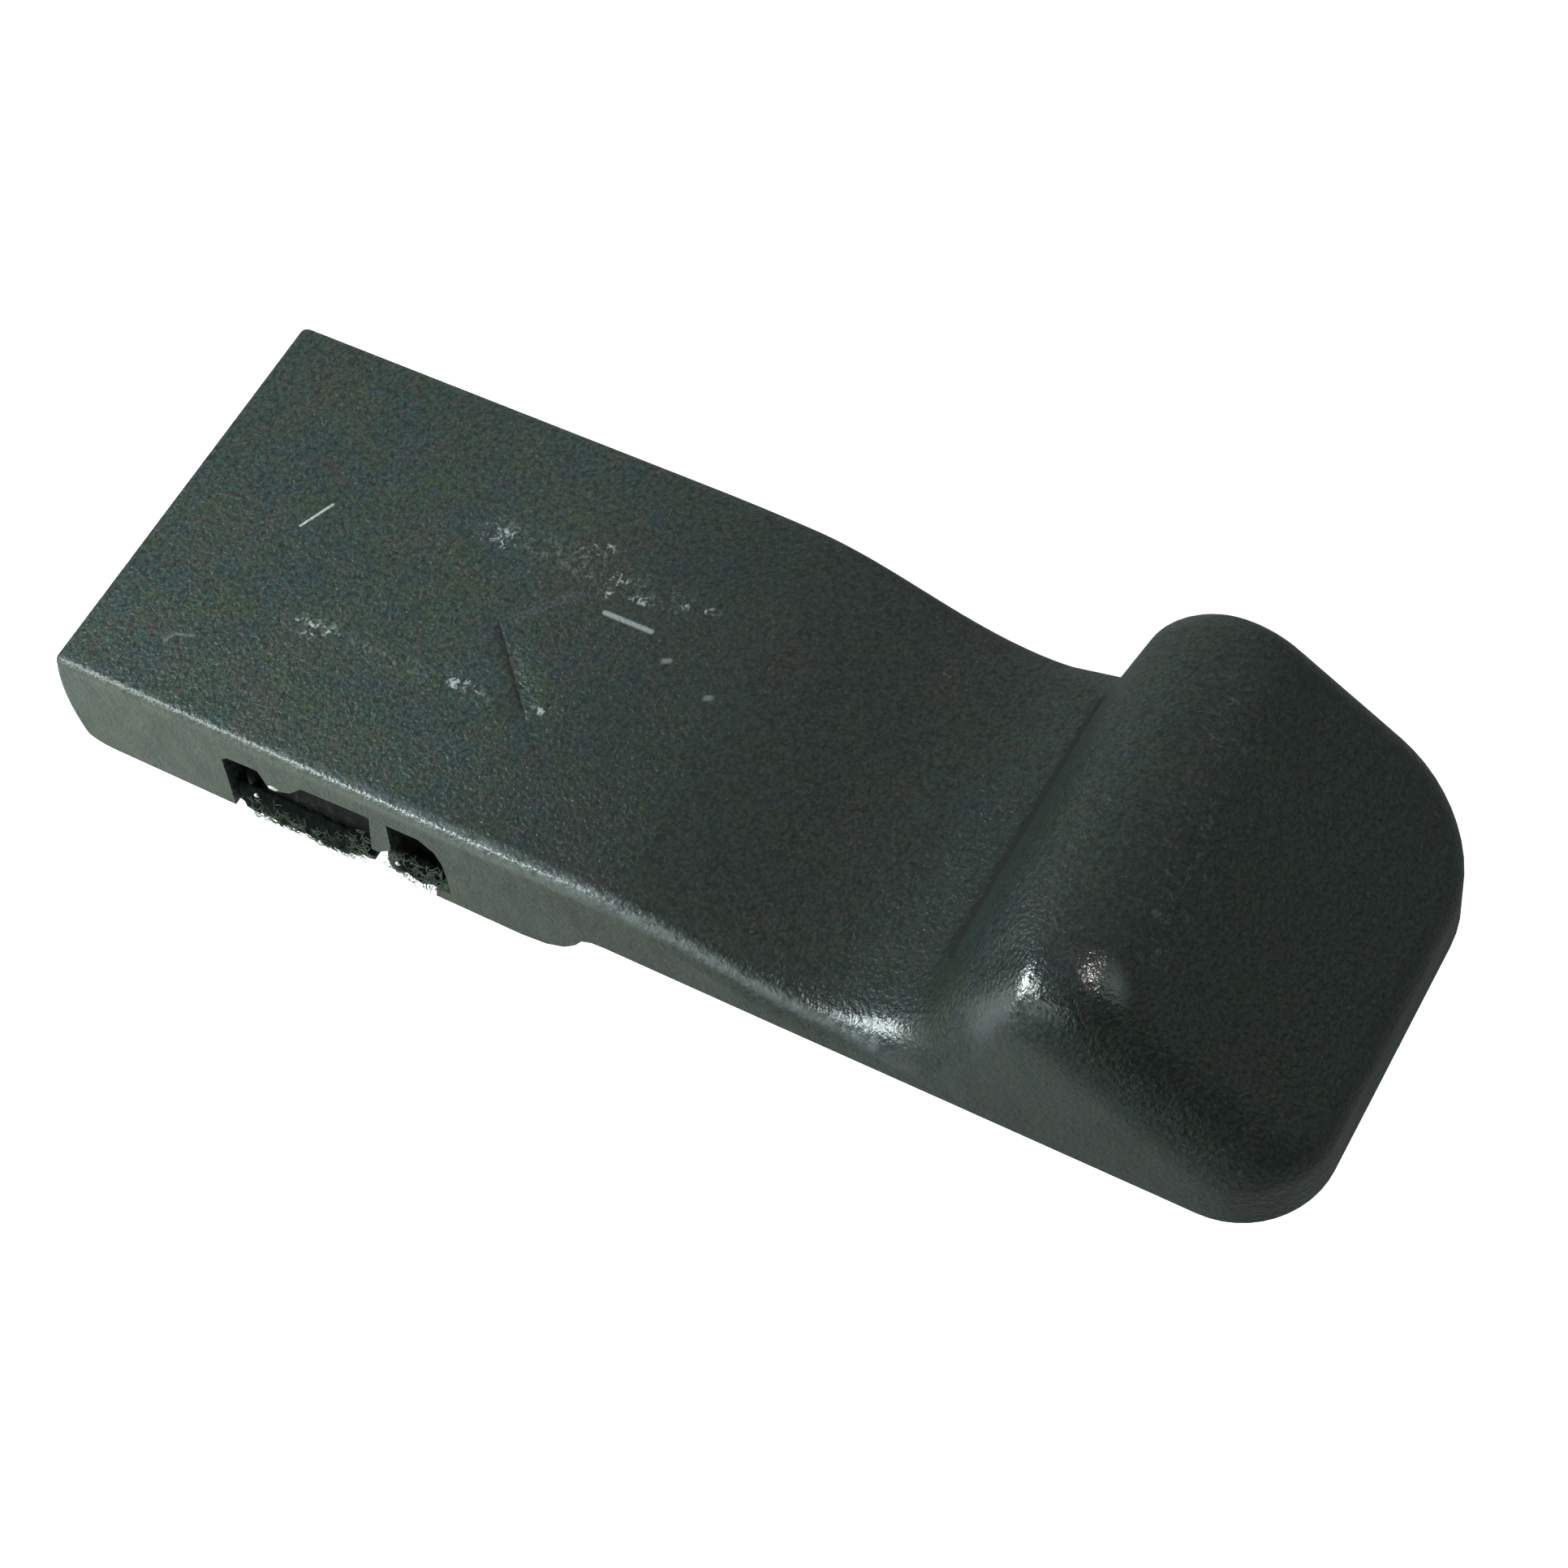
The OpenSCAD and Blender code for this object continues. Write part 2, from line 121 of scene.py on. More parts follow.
def side_stations(off):
    """Profile points of the handle's upper side with normals, inset by off."""
    out = []
    rear_r = REAR_R if off == 0 else 0.6
    top = FLAT_Z - off
    heights = (DEEP, -1.0, 0.5, 2.0, 3.5, 5.0, 6.5, 8.0, 9.5, 11.0)
    levels = [z for z in heights if z < top - rear_r - 0.3]
    for z in levels + [top - rear_r]:
        out.append((off - REAR_BULGE * (1 - ((z - 4.5) / 8.2) ** 2), z, -1.0, 0.0))
    for a in range(165, 89, -15):
        c, s = polar(a)
        out.append((off + rear_r + rear_r * c, top - rear_r + rear_r * s, c, s))
    xs = [6, 10, 14, 18, 22, 26, 30, 34, 38, 42, 44] + [45 + 1.0 * i for i in range(34)]
    n_steep = polar(STEEP_A)
    d_steep = n_steep[0] * CREST[0] + n_steep[1] * CREST[1] + CREST_R
    a, b = 78.0, 86.0
    for _ in range(40):
        m = (a + b) / 2
        if n_steep[0] * m + n_steep[1] * upper(m) > d_steep:
            a = m
        else:
            b = m
    foot = a
    bend = foot - 0.8
    xs = [x for x in xs if x < bend - 0.3] + [bend]
    for x in xs:
        h = (upper(x + 0.01) - upper(x - 0.01)) / 0.02
        nx, nz = unit(-h, 1.0)
        out.append((x - off * nx, upper(x) - off * nz, nx, nz))
    h = (upper(bend + 0.01) - upper(bend - 0.01)) / 0.02
    p0 = (bend, upper(bend))
    t = (d_steep - n_steep[0] * p0[0] - n_steep[1] * p0[1]) / (n_steep[0] + n_steep[1] * h)
    p1 = (p0[0] + t, p0[1] + t * h)
    up = (n_steep[1], -n_steep[0])
    p2 = (p1[0] + 0.8 * up[0], p1[1] + 0.8 * up[1])
    for i in range(1, 9):
        t = i / 8
        x, z = [(1 - t) ** 2 * p0[k] + 2 * t * (1 - t) * p1[k] + t * t * p2[k] for k in (0, 1)]
        dx, dz = [2 * (1 - t) * (p1[k] - p0[k]) + 2 * t * (p2[k] - p1[k]) for k in (0, 1)]
        nx, nz = unit(-dz, dx)
        out.append((x - off * nx, z - off * nz, nx, nz))
    p3 = (CREST[0] + CREST_R * n_steep[0], CREST[1] + CREST_R * n_steep[1])
    for i in range(1, 7):
        t = i / 7
        x, z = [p2[k] + t * (p3[k] - p2[k]) for k in (0, 1)]
        out.append((x - off * n_steep[0], z - off * n_steep[1], n_steep[0], n_steep[1]))
    for i in range(23):
        c, s = polar(STEEP_A + (RAMP_A - STEEP_A) * i / 22)
        out.append((CREST[0] + (CREST_R - off) * c, CREST[1] + (CREST_R - off) * s, c, s))
    return out


def outline_shift(x, y):
    """Plan rounding of the hump's rear corners."""
    w = max(0.0, (abs(y) - 10.5) / 9.5)
    begin = smooth(78.5, 83.5, x)
    return HUMP_PLAN[-1 if y < 0 else 1] * w ** 2.4 * begin * (1 - smooth(88, 97, x))


def slerp(a, b, t):
    dot = max(-1.0, min(1.0, a.dot(b)))
    ang = math.acos(dot)
    if ang < 1e-6:
        return a.copy()
    return (a * math.sin((1 - t) * ang) + b * math.sin(t * ang)) / math.sin(ang)


def edge_rows(off, side):
    """Rolling-ball stations along one long edge and its front corner: ball, radius, normals."""
    half = HALF_W - off
    n_ramp = polar(RAMP_A)
    d_ramp = n_ramp[0] * CREST[0] + n_ramp[1] * CREST[1] + CREST_R - off
    out = Vector((0, side, 0))
    rows = []
    for x, z, nx, nz in side_stations(off):
        r = max(edge_radius(x, side) - off, 0.5)
        n = Vector((nx, 0, nz))
        rows.append((Vector((x - nx * r, side * (half - r), z - nz * r)), r, n, out))
    n = Vector((n_ramp[0], 0, n_ramp[1]))
    r = max(HUMP_EDGE[side] - off, 0.5)
    x0 = rows[-1][0][0]
    x1 = BODY_L - CORNER_R[side]
    for i in range(1, 9):
        x = x0 + (x1 - x0) * i / 9
        rows.append((Vector((x, side * (half - r), (d_ramp - r - n[0] * x) / n[2])), r, n, out))
    n_side = len(rows)
    for i in range(13):
        a = math.radians(90 * i / 12)
        m = Vector((math.sin(a), side * math.cos(a), 0))
        ri = r + (max(LIP_R - off, 0.5) - r) * smooth(0, 1, i / 12)
        arm = CORNER_R[side] - off - ri
        cx = x1 + arm * m[0]
        cy = side * (HALF_W - CORNER_R[side]) + arm * m[1]
        rows.append((Vector((cx, cy, (d_ramp - ri - n[0] * cx) / n[2])), ri, n, m))
    return rows, n_side


def handle_skin(off):
    """Closed solid under the handle's upper skin, inset by off, down to DEEP."""
    near_rows, n_side = edge_rows(off, -1)
    far_rows, _ = edge_rows(off, 1)
    verts = []
    faces = []

    def vert(p):
        verts.append((p[0] + outline_shift(p[0], p[1]), p[1], p[2]))
        return len(verts) - 1

    tops = []
    arcs = {-1: [], 1: []}
    for row, mate in zip(near_rows, far_rows):
        t0 = row[0] + row[2] * row[1]
        t1 = mate[0] + mate[2] * mate[1]
        ids = [vert(t0 + (t1 - t0) * (f + 1) / 2) for f in ACROSS]
        tops.append(ids)
        for s, (c, r, n, m) in ((-1, row), (1, mate)):
            line = [ids[0] if s < 0 else ids[-1]]
            for j in range(1, ARC_STEPS + 1):
                line.append(vert(c + slerp(n, m, j / ARC_STEPS) * r))
            arcs[s].append(line)
    n_pts = len(ACROSS)
    n_rows = len(tops)
    for k in range(n_rows - 1):
        for i in range(n_pts - 1):
            faces.append((tops[k][i], tops[k][i + 1], tops[k + 1][i + 1], tops[k + 1][i]))
        for s in (-1, 1):
            a, b = arcs[s][k], arcs[s][k + 1]
            for j in range(ARC_STEPS):
                faces.append((a[j], b[j], b[j + 1], a[j + 1]))
    c0, r, n, m = near_rows[-1]
    c1 = far_rows[-1][0]
    front = [arcs[-1][-1]]
    for i in range(1, n_pts - 1):
        c = c0 + (c1 - c0) * (ACROSS[i] + 1) / 2
        line = [tops[-1][i]]
        for j in range(1, ARC_STEPS + 1):
            line.append(vert(c + slerp(n, m, j / ARC_STEPS) * r))
        front.append(line)
    front.append(arcs[1][-1])
    for i in range(n_pts - 1):
        for j in range(ARC_STEPS):
            faces.append((front[i][j], front[i + 1][j], front[i + 1][j + 1], front[i][j + 1]))
    blend_foot(verts, faces)

    def foot_of(i):
        v = verts[i]
        verts.append((v[0], v[1], DEEP))
        return len(verts) - 1

    near = [foot_of(arcs[-1][k][-1]) for k in range(n_side, n_rows)]
    fronts = [near[-1]] + [foot_of(front[i][-1]) for i in range(1, n_pts - 1)]
    far = [foot_of(arcs[1][k][-1]) for k in range(n_side, n_rows)]
    fronts.append(far[-1])
    for s, low in ((-1, near), (1, far)):
        for k in range(n_side, n_rows - 1):
            faces.append((arcs[s][k][-1], arcs[s][k + 1][-1], low[k + 1 - n_side], low[k - n_side]))
        faces.append([arcs[s][k][-1] for k in range(n_side + 1)] + [low[0]])
    for i in range(n_pts - 1):
        faces.append((front[i][-1], front[i + 1][-1], fronts[i + 1], fronts[i]))
    bottom = list(reversed(arcs[-1][0])) + tops[0][1:-1] + arcs[1][0]
    faces.append(bottom + far + list(reversed(fronts))[1:-1] + list(reversed(near)))
    return verts, faces


def blend_foot(verts, faces):
    """Softens the hump's foot towards the near edge, where the valley runs up into its side."""
    weight = {}
    for i, (x, y, z) in enumerate(verts):
        w = smooth(-7.5, -15.5, y) * smooth(76, 80, x) * (1 - smooth(88.5, 94, x))
        w *= smooth(19.999, 19.98, abs(y))
        if w > 0.001:
            weight[i] = w
    links = {i: set() for i in weight}
    for f in faces:
        for a, b in zip(f, f[1:] + f[:1]):
            if a in links:
                links[a].add(b)
            if b in links:
                links[b].add(a)
    for _ in range(110):
        moved = {}
        for i, w in weight.items():
            mean = [sum(verts[j][k] for j in links[i]) / len(links[i]) for k in range(3)]
            moved[i] = tuple(verts[i][k] + 0.5 * w * (mean[k] - verts[i][k]) for k in (0, 2))
        for i, (x, z) in moved.items():
            verts[i] = (x, verts[i][1], z)


def make_mesh(name, verts, faces, scale=True):
    me = bpy.data.meshes.new(name)
    pts = [at(*v) for v in verts] if scale else verts
    me.from_pydata([tuple(p) for p in pts], [], faces)
    bm = bmesh.new()
    bm.from_mesh(me)
    bmesh.ops.recalc_face_normals(bm, faces=bm.faces)
    bm.to_mesh(me)
    bm.free()
    me.validate()
    ob = bpy.data.objects.new(name, me)
    bpy.context.scene.collection.objects.link(ob)
    return ob


def prism(name, outline, y0, y1):
    """Solid between y0 and y1 with an X-Z outline."""
    n = len(outline)
    verts = [(x, y0, z) for x, z in outline] + [(x, y1, z) for x, z in outline]
    faces = [list(range(n)), list(range(2 * n - 1, n - 1, -1))]
    faces += [(i, (i + 1) % n, n + (i + 1) % n, n + i) for i in range(n)]
    return make_mesh(name, verts, faces)


def lathe(name, centre, axis, profile, steps=64):
    """Solid of revolution: profile is a closed list of (radius, height) along the axis."""
    cx, cy, cz = centre
    verts = []
    rings = []
    for r, h in profile:
        ring = []
        for i in range(steps):
            if r < 1e-6 and i:
                ring.append(ring[0])
                continue
            c, s = polar(360 * i / steps)
            ring.append(len(verts))
            spot = (r * c, h, r * s) if axis == "y" else (r * c, r * s, h)
            verts.append((cx + spot[0], cy + spot[1], cz + spot[2]))
        rings.append(ring)
    faces = []
    for low, high in zip(rings, rings[1:] + rings[:1]):
        for i in range(steps):
            j = (i + 1) % steps
            face = list(dict.fromkeys((low[i], low[j], high[j], high[i])))
            if len(face) > 2:
                faces.append(face)
    return make_mesh(name, verts, faces)


def combine(ob, parts):
    """Applies boolean steps in order and removes the tools."""
    for mode, tool in parts:
        mod = ob.modifiers.new("cut", "BOOLEAN")
        mod.operation = mode
        mod.solver = "EXACT"
        mod.object = tool
    bpy.context.view_layer.update()
    graph = bpy.context.evaluated_depsgraph_get()
    me = bpy.data.meshes.new_from_object(ob.evaluated_get(graph))
    ob.modifiers.clear()
    ob.data = me
    for _, tool in parts:
        bpy.data.objects.remove(tool)
    return ob


def finish_mesh(ob, angle):
    """Smooth shading, with edges over the angle in degrees kept sharp."""
    ob.data.shade_smooth()
    ob.data.set_sharp_from_angle(angle=math.radians(angle))


# ---------------------------------------------------------------- materials

class Shade:
    """A procedural material, with its coordinates in mm from the handle's rear edge."""

    def __init__(self, name):
        self.mat = bpy.data.materials.new(name)
        self.mat.use_nodes = True
        self.tree = self.mat.node_tree
        self.bsdf = self.tree.nodes["Principled BSDF"]
        coords = self.add("ShaderNodeTexCoord")
        back = self.vec("SUBTRACT", coords.outputs["Object"], tuple(ORIGIN))
        self.p = self.vec("SCALE", back, scale=1000.0)
        split = self.add("ShaderNodeSeparateXYZ")
        self.link(self.p, split.inputs[0])
        self.x, self.y, self.z = split.outputs

    def add(self, kind, **props):
        node = self.tree.nodes.new(kind)
        for key, value in props.items():
            setattr(node, key, value)
        return node

    def link(self, a, b):
        self.tree.links.new(a, b)

    def put(self, socket, value):
        if isinstance(value, bpy.types.NodeSocket):
            self.link(value, socket)
        else:
            socket.default_value = value

    def vec(self, op, a, b=None, scale=None):
        node = self.add("ShaderNodeVectorMath", operation=op)
        self.put(node.inputs[0], a)
        if b is not None:
            self.put(node.inputs[1], b)
        if scale is not None:
            self.put(node.inputs["Scale"], scale)
        return node.outputs["Value" if op in ("DOT_PRODUCT", "DISTANCE") else "Vector"]

    def math(self, op, a, b=0.0, clamp=False):
        node = self.add("ShaderNodeMath", operation=op, use_clamp=clamp)
        self.put(node.inputs[0], a)
        self.put(node.inputs[1], b)
        return node.outputs[0]

    def span(self, value, a, b, lo=0.0, hi=1.0, soft=True):
        node = self.add("ShaderNodeMapRange", interpolation_type="SMOOTHSTEP" if soft else "LINEAR")
        for key, v in zip((0, 1, 2, 3, 4), (value, a, b, lo, hi)):
            self.put(node.inputs[key], v)
        return node.outputs[0]

    def noise(self, scale, detail=2.0, rough=0.5, stretch=None, warp=0.0):
        node = self.add("ShaderNodeTexNoise")
        where = self.p if stretch is None else self.vec("MULTIPLY", self.p, stretch)
        self.link(where, node.inputs["Vector"])
        node.inputs["Scale"].default_value = scale
        node.inputs["Detail"].default_value = detail
        node.inputs["Roughness"].default_value = rough
        node.inputs["Distortion"].default_value = warp
        return node.outputs["Fac"]

    def cells(self, scale):
        node = self.add("ShaderNodeTexVoronoi", feature="F1")
        self.link(self.p, node.inputs["Vector"])
        node.inputs["Scale"].default_value = scale
        return node.outputs["Distance"]

    def mix(self, fac, a, b, mode="MIX"):
        node = self.add("ShaderNodeMix", data_type="RGBA", blend_type=mode)
        self.put(node.inputs[0], fac)
        self.put(node.inputs[6], a)
        self.put(node.inputs[7], b)
        return node.outputs[2]

    def bump(self, height, distance, strength=1.0, under=None):
        node = self.add("ShaderNodeBump")
        node.inputs["Strength"].default_value = strength
        node.inputs["Distance"].default_value = distance * MM
        self.link(height, node.inputs["Height"])
        if under is not None:
            self.link(under, node.inputs["Normal"])
        return node.outputs["Normal"]

    def stroke(self, x0, y0, x1, y1, width, soft):
        """1 within width of the plan segment, falling to 0 over soft."""
        flat = self.vec("MULTIPLY", self.p, (1.0, 1.0, 0.0))
        rel = self.vec("SUBTRACT", flat, (x0, y0, 0.0))
        span = Vector((x1 - x0, y1 - y0, 0.0))
        along = self.vec("DOT_PRODUCT", rel, tuple(span / span.length_squared))
        along = self.math("MINIMUM", self.math("MAXIMUM", along, 0.0), 1.0)
        close = self.vec("SCALE", tuple(span), scale=along)
        dist = self.vec("DISTANCE", rel, close)
        return self.span(dist, width + soft, width, 0.0, 1.0)

    def set(self, name, value):
        self.put(self.bsdf.inputs[name], value)


def rgba(r, g, b):
    return (r, g, b, 1.0)


def handle_plastic():
    """Grained dark plastic with wear and the worn print on the flat top, and painted light: glint
    specks, a highlight line on the near top edge, a lighter dusty near wall that fades towards the
    front, painted shade towards the front, in the crease and in the arrow groove's lower arm, and a
    painted highlight on its upper arm.
    """
    s = Shade("handle_plastic")
    blotch = s.noise(0.09, 3.0, 0.6)
    green = s.noise(0.16, 3.0, 0.55, stretch=(1.0, 1.3, 1.0))
    fine = s.noise(1.7, 3.0, 0.65)
    warm = s.noise(0.9, 3.0, 0.7, stretch=(1.0, 1.0, 1.2))
    tiny = s.noise(3.1, 2.0, 0.6)
    hue = s.noise(1.15, 2.0, 0.6, stretch=(1.0, 1.0, 0.8))
    col = s.mix(s.span(green, 0.38, 0.66),
                rgba(0.0155, 0.0235, 0.0225), rgba(0.0185, 0.0265, 0.0170))
    col = s.mix(s.span(blotch, 0.5, 0.74), col, rgba(0.0245, 0.0245, 0.0180))
    col = s.mix(s.span(hue, 0.55, 0.66, 0.0, 0.7), col, rgba(0.0290, 0.0240, 0.0250))
    col = s.mix(s.span(hue, 0.45, 0.34, 0.0, 0.7), col, rgba(0.0110, 0.0220, 0.0290))
    col = s.mix(s.span(warm, 0.42, 0.75, 0.0, 0.5), col, rgba(0.0120, 0.0260, 0.0140))
    lighter = s.mix(1.0, col, rgba(2.15, 2.15, 2.15), "MULTIPLY")
    col = s.mix(s.span(tiny, 0.40, 0.62, 0.0, 0.85), col, lighter)
    darker = s.mix(1.0, col, rgba(0.3, 0.3, 0.3), "MULTIPLY")
    col = s.mix(s.span(fine, 0.51, 0.37, 0.0, 0.75), col, darker)
    # Painted highlight: small light specks in the colour stand in for glints of the grain.
    glint_specks = s.math("MULTIPLY", s.span(s.noise(2.4, 1.0, 0.5), 0.70, 0.76),
                    s.span(blotch, 0.45, 0.6, 0.3, 1.0))
    col = s.mix(glint_specks, col, rgba(0.085, 0.100, 0.095))
    # Painted shade: the colour grows darker towards the front, standing in for light falling off
    # away from the rear.
    front = s.span(s.math("ADD", s.x, s.math("MULTIPLY", blotch, 14.0)), 37.0, 61.0)
    col = s.mix(front, col, s.mix(0.46, col, rgba(0.003, 0.005, 0.0045)))
    below = s.math("SUBTRACT", s.z, s.span(s.x, VALLEY[0], VALLEY[1], FLAT_Z, FLAT_Z - DIP))
    on_edge = s.math("MULTIPLY", s.stroke(2.0, -19.8, 82.0, -19.2, 0.6, 3.0),
                     s.span(below, -2.0, -0.9))
    on_edge = s.math("MULTIPLY", on_edge, s.span(s.x, 5.0, 60.0, 0.12, 0.5))
    on_hump = s.math("MULTIPLY", s.stroke(90.0, -17.4, 98.2, -15.0, 1.2, 2.1),
                     s.span(s.z, 16.0, 21.0))
    rubbed = s.math("MAXIMUM", on_hump, on_edge)
    rough = s.math("SUBTRACT", s.span(blotch, 0.3, 0.7, 0.43, 0.5),
                   s.math("MULTIPLY", rubbed, 0.14))
    grain = s.noise(2.6, 2.0, 0.6)
    pits = s.cells(1.9)
    normal = s.bump(grain, 0.25, 0.7)
    normal = s.bump(pits, 0.12, 0.5, under=normal)
    glint = s.noise(1.3, 4.0, 0.75)
    # Painted highlight: a lighter line along the near top edge, broken up by the glint noise,
    # stands in for the edge's highlight.
    edge = s.math("MULTIPLY", s.stroke(0.0, -19.75, 80.0, -19.4, 0.25, 0.9),
                  s.span(below, -1.5, -0.6))
    edge = s.math("MULTIPLY", edge, s.span(glint, 0.36, 0.62, 0.25, 1.0))
    edge = s.math("MULTIPLY", edge, s.span(s.x, 12.0, 48.0, 0.1, 1.0))
    col = s.mix(edge, col, rgba(0.085, 0.102, 0.101))
    # Dusty near wall, painted lighter towards the rear: the fade towards the front is painted light
    # falling off from the rear.
    side = s.math("MULTIPLY", s.span(s.y, -19.5, -19.95), s.span(s.x, 115.0, 0.0, 0.22, 1.0))
    wall_dust_and_light = s.noise(0.5, 4.0, 0.7, stretch=(1.0, 1.0, 0.35))
    col = s.mix(s.math("MULTIPLY", side, s.span(wall_dust_and_light, 0.36, 0.64, 0.28, 0.78)), col,
                rgba(0.064, 0.070, 0.048))
    top = s.span(s.z, 12.6, 13.3)
    grit = s.noise(1.45, 4.0, 0.68, warp=0.6)
    worn = s.span(grit, 0.515, 0.66)
    # Worn bands and thin marks: segment in x and y, half width, soft border, strength
    bands = [(28.5, 8.0, 47.0, 7.9, 0.5, 1.6, 0.2), (19.0, -7.6, 36.5, -7.3, 0.3, 1.1, 0.2),
             (28.2, 7.6, 30.0, 7.4, 0.5, 1.1, 0.85), (18.4, -7.6, 20.6, -7.5, 0.4, 1.0, 0.95),
             (33.6, -7.0, 35.4, -6.9, 0.3, 0.8, 0.9), (36.5, 9.6, 38.6, 10.1, 0.3, 0.7, 0.8),
             (40.9, 6.6, 41.3, 7.8, 0.5, 0.7, 0.95), (43.2, 6.8, 44.6, 7.0, 0.3, 0.6, 0.7),
             (47.5, 8.0, 50.4, 8.4, 0.1, 0.5, 0.7), (41.0, -6.6, 42.4, -6.1, 0.1, 0.5, 0.8)]
    total = None
    for x0, y0, x1, y1, w, soft, gain in bands:
        m = s.math("MULTIPLY", s.stroke(x0, y0, x1, y1, w, soft), gain)
        total = m if total is None else s.math("MAXIMUM", total, m)
    total = s.math("MULTIPLY", total, worn)
    lines = [(41.7, 4.5, 46.3, 4.5, 0.12, 0.22, 0.55),
             (12.4, 1.0, 13.8, 4.1, 0.05, 0.13, 0.95), (8.2, -14.2, 8.6, -13.2, 0.05, 0.2, 0.16),
             (8.6, -13.2, 10.2, -12.7, 0.05, 0.2, 0.14), (48.8, 2.4, 49.2, 2.6, 0.1, 0.3, 0.3),
             (53.9, 0.7, 54.2, 0.9, 0.1, 0.3, 0.25)]
    for x0, y0, x1, y1, w, soft, gain in lines:
        m = s.math("MULTIPLY", s.stroke(x0, y0, x1, y1, w, soft), gain)
        total = s.math("MAXIMUM", total, m)
    total = s.math("MULTIPLY", total, top)
    col = s.mix(total, col, rgba(0.34, 0.37, 0.36))
    # Painted highlight: a faint light line on the arrow groove's upper arm.
    pale = s.math("MULTIPLY", s.stroke(34.9, 0.7, 38.7, 5.2, 0.15, 0.45), top)
    col = s.mix(s.math("MULTIPLY", pale, s.span(tiny, 0.38, 0.6, 0.15, 0.6)), col,
                rgba(0.060, 0.060, 0.074))
    # Painted shade: a dark line in the arrow groove's lower arm.
    dark = s.math("MULTIPLY", s.stroke(34.1, -0.7, 40.4, -6.8, 0.16, 0.4), top)
    col = s.mix(s.math("MULTIPLY", dark, s.span(fine, 0.3, 0.6, 0.85, 0.45)), col,
                rgba(0.005, 0.006, 0.004))
    rough = s.math("MAXIMUM", rough, s.math("MULTIPLY", dark, 0.7))
    ridge = s.math("MULTIPLY", s.stroke(100.3, -9.5, 97.8, 12.5, 0.6, 2.6),
                   s.span(grit, 0.54, 0.66, 0.0, 0.5))
    col = s.mix(s.math("MULTIPLY", ridge, s.span(s.z, 18.0, 20.0)), col, rgba(0.085, 0.105, 0.095))
    # Painted shade: a dark line in the crease at the foot of the hump.
    crease_shade = s.stroke(83.1, -10.0, 83.1, 15.5, 0.2, 1.1)
    crease_shade = s.math("MULTIPLY", crease_shade, s.span(s.z, 13.0, 11.8))
    col = s.mix(crease_shade, col, rgba(0.003, 0.004, 0.004))
    rough = s.math("MAXIMUM", rough, s.math("MULTIPLY", crease_shade, 0.8))
    s.set("Base Color", col)
    s.set("Roughness", rough)
    s.set("Normal", normal)
    s.bsdf.inputs["IOR"].default_value = 1.47
    s.bsdf.inputs["Specular IOR Level"].default_value = 0.36
    s.set("Coat Weight", s.math("MULTIPLY", rubbed, 0.7))
    s.bsdf.inputs["Coat Roughness"].default_value = 0.135
    s.bsdf.inputs["Coat IOR"].default_value = 1.8
    s.set("Coat Normal", s.bump(grain, 0.11, 0.6))
    return s.mat


def shade_behind_openings(s, col, amount):
    """Painted shade, nearly black, with pale lint on what lies behind the side openings."""
    if not amount:
        return col
    # Painted shade behind the openings, broken up by pale lint streaks.
    near = s.math("MULTIPLY", s.span(s.math("ABSOLUTE", s.y), 11.5, 14.5), s.span(s.x, 42.0, 38.0))
    lint = s.noise(1.5, 5.0, 0.8, stretch=(1.0, 1.0, 0.5), warp=1.5)
    shade_and_lint = s.mix(s.span(lint, 0.52, 0.66, 0.0, 0.8),
                 rgba(0.0022, 0.0026, 0.0024), rgba(0.030, 0.034, 0.027))
    return s.mix(s.math("MULTIPLY", near, amount), col, shade_and_lint)


def metal(name, low, high, rough, grain=1.2, depth=0.02, stretch=None, metallic=1.0,
          opening_shade=0.0, gloss=0.5):
    s = Shade(name)
    cloud = s.noise(0.22, 4.0, 0.6)
    fine = s.noise(grain, 4.0, 0.6, stretch=stretch)
    col = s.mix(s.span(cloud, 0.3, 0.7), rgba(*low), rgba(*high))
    col = s.mix(s.span(fine, 0.35, 0.7, 0.0, 0.4), col, rgba(*[0.8 * c for c in low]))
    s.set("Base Color", shade_behind_openings(s, col, opening_shade))
    s.bsdf.inputs["Specular IOR Level"].default_value = gloss
    s.set("Roughness", s.span(fine, 0.3, 0.7, rough - 0.07, rough + 0.08))
    s.bsdf.inputs["Metallic"].default_value = metallic
    s.set("Normal", s.bump(fine, depth, 0.5))
    return s.mat


def soft_part(name, low, high, rough, grain=2.2, depth=0.03, opening_shade=0.0, gloss=0.5):
    s = Shade(name)
    cloud = s.noise(0.25, 3.0, 0.6)
    fine = s.noise(grain, 3.0, 0.6)
    s.set("Base Color", shade_behind_openings(s, s.mix(s.span(cloud, 0.3, 0.7), rgba(*low), rgba(*high)), opening_shade))
    s.bsdf.inputs["Specular IOR Level"].default_value = gloss
    s.set("Roughness", s.span(fine, 0.3, 0.7, rough - 0.05, rough + 0.06))
    s.set("Normal", s.bump(fine, depth, 0.45))
    s.bsdf.inputs["IOR"].default_value = 1.5
    return s.mat


